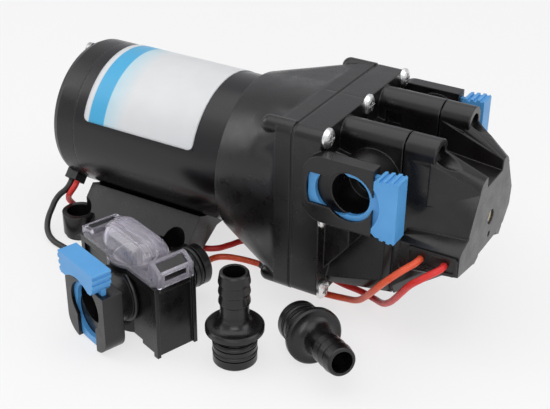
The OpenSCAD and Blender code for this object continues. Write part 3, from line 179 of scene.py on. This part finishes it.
def noise(tree, scale, detail=3.0, stretch=None):
    """Noise on the piece's own coordinates, a scale of 1000 having grains about a millimetre wide."""
    place = tree.nodes.new("ShaderNodeTexCoord").outputs["Object"]
    if stretch:
        mapping = tree.nodes.new("ShaderNodeMapping")
        mapping.inputs["Scale"].default_value = stretch
        tree.links.new(place, mapping.inputs["Vector"])
        place = mapping.outputs["Vector"]
    grain = tree.nodes.new("ShaderNodeTexNoise")
    grain.inputs["Scale"].default_value = scale
    grain.inputs["Detail"].default_value = detail
    tree.links.new(place, grain.inputs["Vector"])
    return grain.outputs["Fac"]


def ramp(tree, factor, *stops):
    """A colour ramp with stops of (place, colour or grey)."""
    node = tree.nodes.new("ShaderNodeValToRGB")
    points = node.color_ramp.elements
    while len(points) < len(stops):
        points.new(0.5)
    for point, (place, tone) in zip(points, stops):
        point.position = place
        shade = (tone, tone, tone) if isinstance(tone, (int, float)) else tone
        point.color = (*shade, 1)
    tree.links.new(factor, node.inputs["Fac"])
    return node.outputs["Color"]


def mottled(tree, scale, detail, low, high, stops=(0.3, 0.7), stretch=None):
    """A tone or colour that wanders between two values with a noise."""
    return ramp(tree, noise(tree, scale, detail, stretch), (stops[0], low), (stops[1], high))


def sum_of(tree, operation, first, second, third=None):
    """A Math node on sockets or plain numbers."""
    node = tree.nodes.new("ShaderNodeMath")
    node.operation = operation
    for socket, value in zip(node.inputs, (first, second, third)):
        if value is None:
            continue
        if isinstance(value, (int, float)):
            socket.default_value = value
        else:
            tree.links.new(value, socket)
    return node.outputs["Value"]


def mixed(tree, factor, first, second, mode="MIX"):
    """Two colours mixed by a socket or by a plain share."""
    node = tree.nodes.new("ShaderNodeMix")
    node.data_type = "RGBA"
    node.blend_type = mode
    if isinstance(factor, (int, float)):
        node.inputs["Factor"].default_value = factor
    else:
        tree.links.new(factor, node.inputs["Factor"])
    colours = [socket for socket in node.inputs if socket.type == "RGBA"]
    for socket, value in zip(colours, (first, second)):
        if isinstance(value, tuple):
            socket.default_value = (*value, 1)
        else:
            tree.links.new(value, socket)
    return next(socket for socket in node.outputs if socket.type == "RGBA")


def vector_of(tree, operation, first, second=None, scale=None):
    """A Vector Math node on sockets or plain vectors."""
    node = tree.nodes.new("ShaderNodeVectorMath")
    node.operation = operation
    for socket, value in zip(node.inputs, (first, second)):
        if isinstance(value, tuple):
            socket.default_value = value
        elif value is not None:
            tree.links.new(value, socket)
    if scale is not None:
        tree.links.new(scale, node.inputs["Scale"])
    return node.outputs["Value" if operation in ("DOT_PRODUCT", "LENGTH") else "Vector"]


def soft_edge(tree, radius_mm):
    """The normal with the piece's edges rounded by a small radius."""
    node = tree.nodes.new("ShaderNodeBevel")
    node.samples = 6
    node.inputs["Radius"].default_value = radius_mm * MM
    return node.outputs["Normal"]


def painted_highlight_edges(tree, radius_mm):
    """One along the piece's sharp edges and nothing on its flat faces, where a paler painted highlight
    goes.
    """
    flat = tree.nodes.new("ShaderNodeNewGeometry").outputs["Normal"]
    turn = vector_of(tree, "DOT_PRODUCT", soft_edge(tree, radius_mm), flat)
    return ramp(tree, turn, (0.72, 1.0), (0.97, 0.0))


def cone_normal(tree, edge_mm):
    """The bell's normal, eased towards that of a round cone about the motor's axis."""
    soft = soft_edge(tree, edge_mm)
    place = tree.nodes.new("ShaderNodeTexCoord").outputs["Object"]
    from_axis = vector_of(tree, "SUBTRACT", place, (0, 0, AXIS_Z * MM))
    spoke = vector_of(tree, "MULTIPLY", from_axis, (0, 1, 1))
    outward = vector_of(tree, "NORMALIZE", spoke)
    cone = vector_of(tree, "NORMALIZE", vector_of(tree, "ADD", outward, (-CONE_SLOPE, 0, 0)))
    split = tree.nodes.new("ShaderNodeSeparateXYZ")
    tree.links.new(place, split.inputs["Vector"])
    facing = ramp(tree, vector_of(tree, "DOT_PRODUCT", soft, outward), (0.55, 0.0), (0.8, 1.0))
    radius = sum_of(tree, "DIVIDE", vector_of(tree, "LENGTH", spoke), CONE_R * MM)
    inside = ramp(tree, radius, (0.93, 1.0), (1.0, 0.0))
    along = sum_of(tree, "DIVIDE", split.outputs["X"], CONE_END_X * MM)
    behind = ramp(tree, along, (0.97, 1.0), (1.0, 0.0))
    share = sum_of(tree, "MULTIPLY", sum_of(tree, "MULTIPLY", facing, inside), behind)
    share = sum_of(tree, "MULTIPLY", share, CONE_SHARE)
    toward = vector_of(tree, "SCALE", vector_of(tree, "SUBTRACT", cone, soft), scale=share)
    return vector_of(tree, "NORMALIZE", vector_of(tree, "ADD", soft, toward))


def raised(tree, shader, heights, edge_mm, on_cone=False):
    """Bumps of (height socket, strength, depth in millimetres) over rounded edges."""
    if on_cone:
        normal = cone_normal(tree, edge_mm)
    else:
        normal = soft_edge(tree, edge_mm) if edge_mm else None
    for height, strength, depth in heights:
        bump = tree.nodes.new("ShaderNodeBump")
        bump.inputs["Strength"].default_value = strength
        bump.inputs["Distance"].default_value = depth * MM
        tree.links.new(height, bump.inputs["Height"])
        if normal:
            tree.links.new(normal, bump.inputs["Normal"])
        normal = bump.outputs["Normal"]
    tree.links.new(normal, shader.inputs["Normal"])


def paint(tree, shader, colour, roughness):
    """Links a finish's colour and roughness to its shader."""
    tree.links.new(colour, shader.inputs["Base Color"])
    tree.links.new(roughness, shader.inputs["Roughness"])


# Finishes
def moulded_plastic(name, dark, light, rough, edge_mm=0.45, grain_depth=0.03, highlight_strength=0.35, on_cone=False):
    """Moulded plastic with a fine spark grain, slow cloudiness and paler edges, which are a painted
    highlight.
    """
    finish, tree, shader = start_finish(name)
    base = mottled(tree, 55, 4, dark, light, (0.3, 0.72))
    # The paler colour along the sharp edges is a painted edge highlight.
    highlight_share = sum_of(tree, "MULTIPLY", painted_highlight_edges(tree, edge_mm * 1.3), highlight_strength)
    highlight_colour = tuple(min(1.0, c * 1.9 + 0.012) for c in light)
    gloss = mottled(tree, 140, 5, rough - 0.06, rough + 0.07)
    paint(tree, shader, mixed(tree, highlight_share, base, highlight_colour), gloss)
    raised(tree, shader, [(noise(tree, 1500, 2), 0.22, grain_depth)], edge_mm, on_cone)
    return finish


def motor_paint():
    """Smooth black stoved paint on the motor, with slight orange peel and a few dull smears."""
    finish, tree, shader = start_finish("motor_paint")
    base = mottled(tree, 30, 3, (0.004, 0.0033, 0.004), (0.0072, 0.0058, 0.0068), (0.3, 0.75))
    # The paler colour along the motor's edges is a painted edge highlight.
    highlight_share = sum_of(tree, "MULTIPLY", painted_highlight_edges(tree, 0.5), 0.3)
    smears = mottled(tree, 42, 6, 0.2, 0.34, (0.35, 0.72), stretch=(0.35, 1, 1))
    paint(tree, shader, mixed(tree, highlight_share, base, (0.05, 0.048, 0.048)), smears)
    raised(tree, shader, [(noise(tree, 700, 1), 0.12, 0.02)], 1.6)
    return finish


def sheath(name, dark, light, rough=0.42):
    """Soft lead sheath, faintly cloudy, with a fine matt grain."""
    finish, tree, shader = start_finish(name)
    gloss = mottled(tree, 420, 3, rough - 0.08, rough + 0.08)
    paint(tree, shader, mottled(tree, 160, 4, dark, light), gloss)
    raised(tree, shader, [(noise(tree, 900, 3), 0.2, 0.04)], 0)
    return finish


def bare_metal(name, dark, light, rough, brush=None, edge_mm=0.25):
    """Metal with a brushed or mottled face."""
    finish, tree, shader = start_finish(name)
    shader.inputs["Metallic"].default_value = 1
    tone = noise(tree, 350, 5, brush)
    gloss = mottled(tree, 240, 4, rough - 0.07, rough + 0.1)
    paint(tree, shader, ramp(tree, tone, (0.3, dark), (0.7, light)), gloss)
    raised(tree, shader, [(tone, 0.15, 0.03)], edge_mm)
    return finish


def soft_rubber(name, dark, light, rough=0.6, edge_mm=0.4):
    """Moulded rubber with a powdery bloom."""
    finish, tree, shader = start_finish(name)
    gloss = mottled(tree, 300, 3, rough - 0.08, rough + 0.1)
    paint(tree, shader, mottled(tree, 120, 6, dark, light, (0.35, 0.75)), gloss)
    raised(tree, shader, [(noise(tree, 1300, 2), 0.3, 0.03)], edge_mm)
    return finish


def clear_plastic():
    """Clear moulded plastic with a milky violet tint and slow flow marks."""
    finish, tree, shader = start_finish("clear_plastic")
    shader.inputs["Transmission Weight"].default_value = 0.82
    shader.inputs["IOR"].default_value = 1.5
    tint = mottled(tree, 70, 3, (0.91, 0.87, 0.985), (0.965, 0.925, 1.0))
    paint(tree, shader, tint, mottled(tree, 200, 3, 0.0, 0.03))
    raised(tree, shader, [(noise(tree, 180, 3), 0.2, 0.05)], 0.3)
    return finish


def woven_screen():
    """Fine woven wire of the strainer's screen."""
    finish, tree, shader = start_finish("screen_steel")
    shader.inputs["Metallic"].default_value = 1
    weave = tree.nodes.new("ShaderNodeTexBrick")
    weave.inputs["Scale"].default_value = 900
    weave.inputs["Mortar Size"].default_value = 0.2
    weave.inputs["Color1"].default_value = (0.3, 0.3, 0.31, 1)
    weave.inputs["Color2"].default_value = (0.4, 0.4, 0.41, 1)
    weave.inputs["Mortar"].default_value = (0.7, 0.7, 0.69, 1)
    place = tree.nodes.new("ShaderNodeTexCoord")
    tree.links.new(place.outputs["Object"], weave.inputs["Vector"])
    paint(tree, shader, weave.outputs["Color"], mottled(tree, 300, 3, 0.3, 0.45))
    raised(tree, shader, [(weave.outputs["Fac"], 0.5, 0.08)], 0)
    return finish


def wound_copper():
    """Enamelled wire laid in close turns."""
    finish, tree, shader = start_finish("copper")
    shader.inputs["Metallic"].default_value = 0.85
    turns = tree.nodes.new("ShaderNodeTexWave")
    turns.inputs["Scale"].default_value = 260
    turns.inputs["Distortion"].default_value = 0.6
    turns.bands_direction = "DIAGONAL"
    place = tree.nodes.new("ShaderNodeTexCoord")
    tree.links.new(place.outputs["Object"], turns.inputs["Vector"])
    enamel = ramp(tree, turns.outputs["Fac"], (0.15, (0.2, 0.06, 0.02)), (0.7, (0.72, 0.27, 0.11)))
    paint(tree, shader, enamel, mottled(tree, 300, 3, 0.25, 0.4))
    raised(tree, shader, [(turns.outputs["Fac"], 0.6, 0.15)], 0)
    return finish


def printed_label():
    """A plain label: white, a blue band and a pale blue fade at its rear end, round corners."""
    finish, tree, shader = start_finish("label")
    split = tree.nodes.new("ShaderNodeSeparateXYZ")
    place = tree.nodes.new("ShaderNodeTexCoord")
    tree.links.new(place.outputs["Object"], split.inputs["Vector"])
    along = sum_of(tree, "MULTIPLY", split.outputs["X"], 1 / MM)
    height = sum_of(tree, "SUBTRACT", split.outputs["Z"], AXIS_Z * MM)
    near = sum_of(tree, "MULTIPLY", split.outputs["Y"], -1.0)
    turn = sum_of(tree, "ARCTAN2", height, near)
    around = sum_of(tree, "MULTIPLY", turn, LABEL_R)
    share = tree.nodes.new("ShaderNodeMapRange")
    share.inputs["From Min"].default_value = LABEL_X[0]
    share.inputs["From Max"].default_value = LABEL_X[1]
    tree.links.new(along, share.inputs["Value"])
    white, blue, pale = (0.8, 0.81, 0.82), (0.075, 0.46, 0.78), (0.55, 0.77, 0.86)
    print_tones = ramp(
        tree, share.outputs["Result"], (0.0, white),
        (BAND_FROM - BAND_EDGE, white), (BAND_FROM + BAND_EDGE, blue),
        (BAND_TO - BAND_EDGE, blue), (BAND_TO + BAND_EDGE, pale),
        (FADE_TO, white), (1.0, white),
    )
    toned = mixed(tree, 1.0, print_tones, mottled(tree, 60, 5, 0.94, 1.0), "MULTIPLY")
    middle_x = (LABEL_X[0] + LABEL_X[1]) / 2
    half_x = (LABEL_X[1] - LABEL_X[0]) / 2
    middle_u = math.radians(sum(LABEL_TURN) / 2) * LABEL_R
    half_u = math.radians(LABEL_TURN[1] - LABEL_TURN[0]) / 2 * LABEL_R
    over = []
    for place_on, middle, half in ((along, middle_x, half_x), (around, middle_u, half_u)):
        off = sum_of(tree, "ABSOLUTE", sum_of(tree, "SUBTRACT", place_on, middle), None)
        past = sum_of(tree, "MAXIMUM", sum_of(tree, "SUBTRACT", off, half - LABEL_CORNER_R), 0.0)
        over.append(sum_of(tree, "MULTIPLY", past, past))
    reach = sum_of(tree, "SQRT", sum_of(tree, "ADD", over[0], over[1]), None)
    corner = sum_of(tree, "GREATER_THAN", reach, LABEL_CORNER_R + 0.02)
    cut = mixed(tree, corner, toned, (0.01, 0.009, 0.01))
    paint(tree, shader, cut, mottled(tree, 90, 4, 0.28, 0.4))
    raised(tree, shader, [(noise(tree, 500, 2), 0.08, 0.02)], 1.6)
    return finish


def fibre_card():
    """Pressed fibre board of the brush card."""
    finish, tree, shader = start_finish("card")
    base = mottled(tree, 600, 6, (0.09, 0.045, 0.02), (0.17, 0.09, 0.045))
    paint(tree, shader, base, mottled(tree, 300, 3, 0.5, 0.65))
    raised(tree, shader, [(noise(tree, 900, 4), 0.3, 0.05)], 0.2)
    return finish


BLACK_TONES = ((0.0045, 0.0038, 0.0038), (0.0078, 0.0065, 0.0065), 0.29)
FINISHES = {
    "motor_paint": motor_paint(),
    "black_plastic": moulded_plastic("black_plastic", *BLACK_TONES),
    "bell_plastic": moulded_plastic("bell_plastic", *BLACK_TONES, 1.2, grain_depth=0.012, on_cone=True),
    # The housing's edges get a stronger painted edge highlight, the blue clip's a weaker one.
    "housing_plastic": moulded_plastic("housing_plastic", *BLACK_TONES, 1.0, grain_depth=0.02, highlight_strength=0.6),
    "inner_plastic": moulded_plastic("inner_plastic", (0.35, 0.34, 0.31), (0.45, 0.44, 0.4), 0.42),
    "blue_plastic": moulded_plastic("blue_plastic", (0.085, 0.35, 0.74), (0.115, 0.4, 0.8), 0.36, highlight_strength=0.22),
    "steel": bare_metal("steel", (0.42, 0.42, 0.42), (0.56, 0.56, 0.55), 0.32, (1, 6, 6)),
    "screw_steel": bare_metal("screw_steel", (0.72, 0.72, 0.71), (0.86, 0.86, 0.85), 0.3),
    "screen_steel": woven_screen(),
    "ferrite": moulded_plastic("ferrite", (0.03, 0.03, 0.032), (0.05, 0.05, 0.052), 0.55),
    "copper": wound_copper(),
    "carbon": moulded_plastic("carbon", (0.018, 0.018, 0.02), (0.03, 0.03, 0.032), 0.5),
    "card": fibre_card(),
    "label": printed_label(),
    "rubber": soft_rubber("rubber", (0.005, 0.005, 0.005), (0.009, 0.009, 0.009), 0.42),
    "valve_rubber": soft_rubber("valve_rubber", (0.02, 0.02, 0.02), (0.032, 0.032, 0.032)),
    "brass": bare_metal("brass", (0.76, 0.68, 0.5), (0.9, 0.84, 0.7), 0.45),
    "red_sheath": sheath("red_sheath", (0.72, 0.024, 0.022), (0.84, 0.042, 0.035)),
    "orange_sheath": sheath("orange_sheath", (0.86, 0.095, 0.034), (0.96, 0.135, 0.054)),
    "black_sheath": sheath("black_sheath", (0.008, 0.008, 0.008), (0.015, 0.015, 0.015)),
    "clear_plastic": clear_plastic(),
}


def loft_shading():
    """A modifier group that shades a lofted moulding as one surface between its sharp edges."""
    group = bpy.data.node_groups.new("loft_shading", "GeometryNodeTree")
    group.interface.new_socket("Moulding", in_out="INPUT", socket_type="NodeSocketGeometry")
    group.interface.new_socket("Moulding", in_out="OUTPUT", socket_type="NodeSocketGeometry")
    enter = group.nodes.new("NodeGroupInput")
    leave = group.nodes.new("NodeGroupOutput")
    weld = group.nodes.new("GeometryNodeMergeByDistance")
    weld.inputs["Distance"].default_value = LOFT_WELD
    turn = group.nodes.new("GeometryNodeInputMeshEdgeAngle")
    sharp = group.nodes.new("FunctionNodeCompare")
    sharp.data_type = "FLOAT"
    sharp.operation = "GREATER_THAN"
    sharp.inputs["B"].default_value = math.radians(LOFT_EDGE_DEG)
    shade = group.nodes.new("GeometryNodeSetMeshNormal")
    shade.mode = "SHARPNESS"
    shade.inputs["Remove Custom"].default_value = True
    shade.inputs["Face Sharpness"].default_value = False
    group.links.new(enter.outputs[0], weld.inputs["Geometry"])
    group.links.new(weld.outputs["Geometry"], shade.inputs["Mesh"])
    group.links.new(turn.outputs["Unsigned Angle"], sharp.inputs["A"])
    group.links.new(sharp.outputs["Result"], shade.inputs["Edge Sharpness"])
    group.links.new(shade.outputs["Mesh"], leave.inputs[0])
    return group


def dress_nodes():
    """Gives every CAD node the finish of its slot in the record, and the lofted ones their shading."""
    for row in frame["record"]["subparts"]:
        mesh = nodes[row["node"]].data
        mesh.materials.clear()
        mesh.materials.append(FINISHES[row["material_slot"]])
    shading = loft_shading()
    for name, finish in LOFTED.items():
        nodes[name].data.materials[0] = FINISHES[finish]
        nodes[name].modifiers.new("loft_shading", "NODES").node_group = shading


# Leads
def lead(name, route, finish):
    """A lead as one open curve through its route."""
    curve = bpy.data.curves.new(name, "CURVE")
    curve.dimensions = "3D"
    curve.bevel_depth = LEAD_R * MM
    curve.bevel_resolution = 5
    curve.resolution_u = 10
    curve.use_fill_caps = True
    spline = curve.splines.new("BEZIER")
    spline.bezier_points.add(len(route) - 1)
    for point, place in zip(spline.bezier_points, route):
        point.co = Vector(place) * MM
        point.handle_left_type = "AUTO"
        point.handle_right_type = "AUTO"
    piece = bpy.data.objects.new(name + "_run", curve)
    bpy.context.scene.collection.objects.link(piece)
    curve.materials.append(FINISHES[finish])
    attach(piece, "pump")
    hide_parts(name)
    return piece


def settle(shape, name, finish, body):
    """Makes a finished shape an object that rides on its body."""
    bmesh.ops.remove_doubles(shape, verts=shape.verts, dist=1e-6)
    bmesh.ops.recalc_face_normals(shape, faces=shape.faces)
    mesh = bpy.data.meshes.new(name)
    shape.to_mesh(mesh)
    shape.free()
    mesh.shade_smooth()
    mesh.materials.append(FINISHES[finish])
    piece = bpy.data.objects.new(name, mesh)
    bpy.context.scene.collection.objects.link(piece)
    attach(piece, body)
    return piece


def along_line(shape, start, end):
    """Moves a shape built up the Z axis to lie from start towards end."""
    way = (Vector(end) - Vector(start)).normalized()
    turn = Vector((0, 0, 1)).rotation_difference(way).to_matrix().to_4x4()
    bmesh.ops.transform(shape, matrix=Matrix.Translation(Vector(start) * MM) @ turn, verts=shape.verts)


def spun(shape, profile, steps=32):
    """Spins a profile of (radius, height) points, in millimetres, round the Z axis."""
    line = [shape.verts.new((r * MM, 0, z * MM)) for r, z in profile]
    edges = [shape.edges.new(pair) for pair in zip(line, line[1:])]
    bmesh.ops.spin(
        shape, geom=line + edges, cent=(0, 0, 0), axis=(0, 0, 1),
        angle=math.tau, steps=steps, use_merge=True,
    )


def shrink_sleeve():
    """Heat-shrink tube over the splice, drawn in at both ends."""
    shape = bmesh.new()
    length = (Vector(SLEEVE_ENDS[1]) - Vector(SLEEVE_ENDS[0])).length
    spun(shape, [
        (LEAD_R + 0.02, 0), (LEAD_R + 0.35, 0), (LEAD_R + 0.45, 0.9), (SLEEVE_R - 0.2, 1.7),
        (SLEEVE_R, 2.6), (SLEEVE_R - 0.05, length / 2), (SLEEVE_R, length - 2.6),
        (SLEEVE_R - 0.2, length - 1.7), (LEAD_R + 0.45, length - 0.9),
        (LEAD_R + 0.35, length), (LEAD_R + 0.02, length), (LEAD_R + 0.02, 0),
    ])
    along_line(shape, *SLEEVE_ENDS)
    piece = settle(shape, "splice_sleeve_shrunk", "black_sheath", "pump")
    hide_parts("splice_sleeve")
    return piece


def turned_wire(shape, place, wire_r, **turn):
    """Winds a round wire from its place, with the axis, rise, angle and steps of a spin."""
    ring = bmesh.ops.create_circle(
        shape, cap_ends=False, segments=WIRE_SIDES, radius=wire_r * MM, matrix=place,
    )
    rim = ring["verts"] + list(dict.fromkeys(e for v in ring["verts"] for e in v.link_edges))
    bmesh.ops.spin(shape, geom=rim, **turn)


def close_ends(shape):
    """Caps the open ends of a shape's wires."""
    bmesh.ops.holes_fill(shape, edges=[e for e in shape.edges if e.is_boundary], sides=WIRE_SIDES + 2)


def bared_strands(name, start, way):
    """Seven strands of tinned wire, twisted, at a lead's bared end."""
    strand_r = BARED_R / 3
    shape = bmesh.new()
    bmesh.ops.create_cone(
        shape, cap_ends=True, segments=WIRE_SIDES, radius1=strand_r * MM, radius2=strand_r * MM,
        depth=BARED_LEN * MM, matrix=Matrix.Translation((0, 0, BARED_LEN / 2 * MM)),
    )
    steps = 16
    for k in range(OUTER_STRANDS):
        beside = Matrix.Translation((2 * strand_r * MM, 0, 0))
        turned_wire(
            shape, Matrix.Rotation(k * math.tau / OUTER_STRANDS, 4, "Z") @ beside, strand_r,
            cent=(0, 0, 0), axis=(0, 0, 1), dvec=(0, 0, BARED_LEN / steps * MM),
            angle=math.radians(STRAND_TWIST), steps=steps,
        )
    close_ends(shape)
    along_line(shape, start, Vector(start) + Vector(way))
    return settle(shape, name, "screw_steel", "pump")


def lay_leads():
    """The three leads with their sleeve and bared ends."""
    orange = lead("orange_lead", ORANGE_ROUTE, "orange_sheath")
    red = lead("red_lead", RED_ROUTE, "red_sheath")
    black = lead("black_lead", BLACK_ROUTE, "black_sheath")
    sleeve = shrink_sleeve()
    orange_end = bared_strands("orange_bared_end", ORANGE_ROUTE[-1], (-1, 0, 0))
    black_end = bared_strands("black_bared_end", BLACK_ROUTE[-1], (1, 0, 0))
    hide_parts("bared_ends")
    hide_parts("bared_ends")


# Pressure switch
def pressed_spring():
    """The switch's coil, which the plunger shortens towards the adjusting screw."""
    low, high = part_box("switch_spring")
    start, end = low[0] + SPRING_WIRE_R * MM, high[0] - SPRING_WIRE_R * MM
    shape = bmesh.new()
    steps = 24 * SPRING_TURNS
    turned_wire(
        shape, Matrix.Translation((start, SPRING_R * MM, AXIS_Z * MM)), SPRING_WIRE_R,
        cent=(0, 0, AXIS_Z * MM), axis=(1, 0, 0), dvec=((end - start) / steps, 0, 0),
        angle=math.tau * SPRING_TURNS, steps=steps,
    )
    close_ends(shape)
    piece = settle(shape, "switch_spring_coil", "steel", "pump")
    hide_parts("switch_spring")
    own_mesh(piece)


# Stage
def backdrop_rays(tree):
    """One for the rays that see the backdrop straight, in gloss or through clear plastic."""
    path = tree.nodes.new("ShaderNodeLightPath")
    seen = sum_of(tree, "MAXIMUM", path.outputs["Is Camera Ray"], path.outputs["Is Glossy Ray"])
    return sum_of(tree, "MAXIMUM", seen, path.outputs["Is Transmission Ray"])


def lay_floor():
    """A pale floor that is a little whiter to the eye than to the light."""
    shape = bmesh.new()
    bmesh.ops.create_grid(shape, x_segments=1, y_segments=1, size=4)
    mesh = bpy.data.meshes.new("floor")
    shape.to_mesh(mesh)
    shape.free()
    finish, tree, shader = start_finish("floor")
    shader.inputs["Roughness"].default_value = 0.6
    shader.inputs["Specular IOR Level"].default_value = 0.2
    pale = mottled(tree, 3, 2, (0.935, 0.935, 0.94), (0.955, 0.955, 0.96))
    tree.links.new(pale, shader.inputs["Base Color"])
    white = tree.nodes.new("ShaderNodeEmission")
    white.inputs["Color"].default_value = (1, 0.995, 1, 1)
    paler = tree.nodes.new("ShaderNodeMixShader")
    tree.links.new(sum_of(tree, "MULTIPLY", backdrop_rays(tree), FLOOR_WHITE), paler.inputs["Fac"])
    tree.links.new(shader.outputs["BSDF"], paler.inputs[1])
    tree.links.new(white.outputs["Emission"], paler.inputs[2])
    tree.links.new(paler.outputs["Shader"], tree.nodes["Material Output"].inputs["Surface"])
    mesh.materials.append(finish)
    floor = bpy.data.objects.new("floor", mesh)
    bpy.context.scene.collection.objects.link(floor)


def light_room():
    """A dim pale room and four soft lamps, overhead, in front and on both sides."""
    world = bpy.data.worlds.new("room")
    world.use_nodes = True
    tree = world.node_tree
    back = tree.nodes["Background"]
    back.inputs["Color"].default_value = (0.95, 0.96, 1.0, 1)
    strength = sum_of(tree, "MULTIPLY_ADD", backdrop_rays(tree), ROOM_SEEN, ROOM_LEVEL)
    tree.links.new(strength, back.inputs["Strength"])
    bpy.context.scene.world = world
    for name, place, width, height, watts in LAMPS:
        lamp = bpy.data.lights.new(name, "AREA")
        lamp.shape = "RECTANGLE"
        lamp.size, lamp.size_y = width, height
        lamp.energy = watts
        softbox = bpy.data.objects.new(name, lamp)
        softbox.location = place
        softbox.rotation_euler = (Vector(LAMP_AIM) - Vector(place)).to_track_quat("-Z", "Y").to_euler()
        bpy.context.scene.collection.objects.link(softbox)


aim_camera()
dress_nodes()
lay_leads()
pressed_spring()
lay_floor()
light_room()
bpy.context.scene.view_settings.view_transform = "Standard"
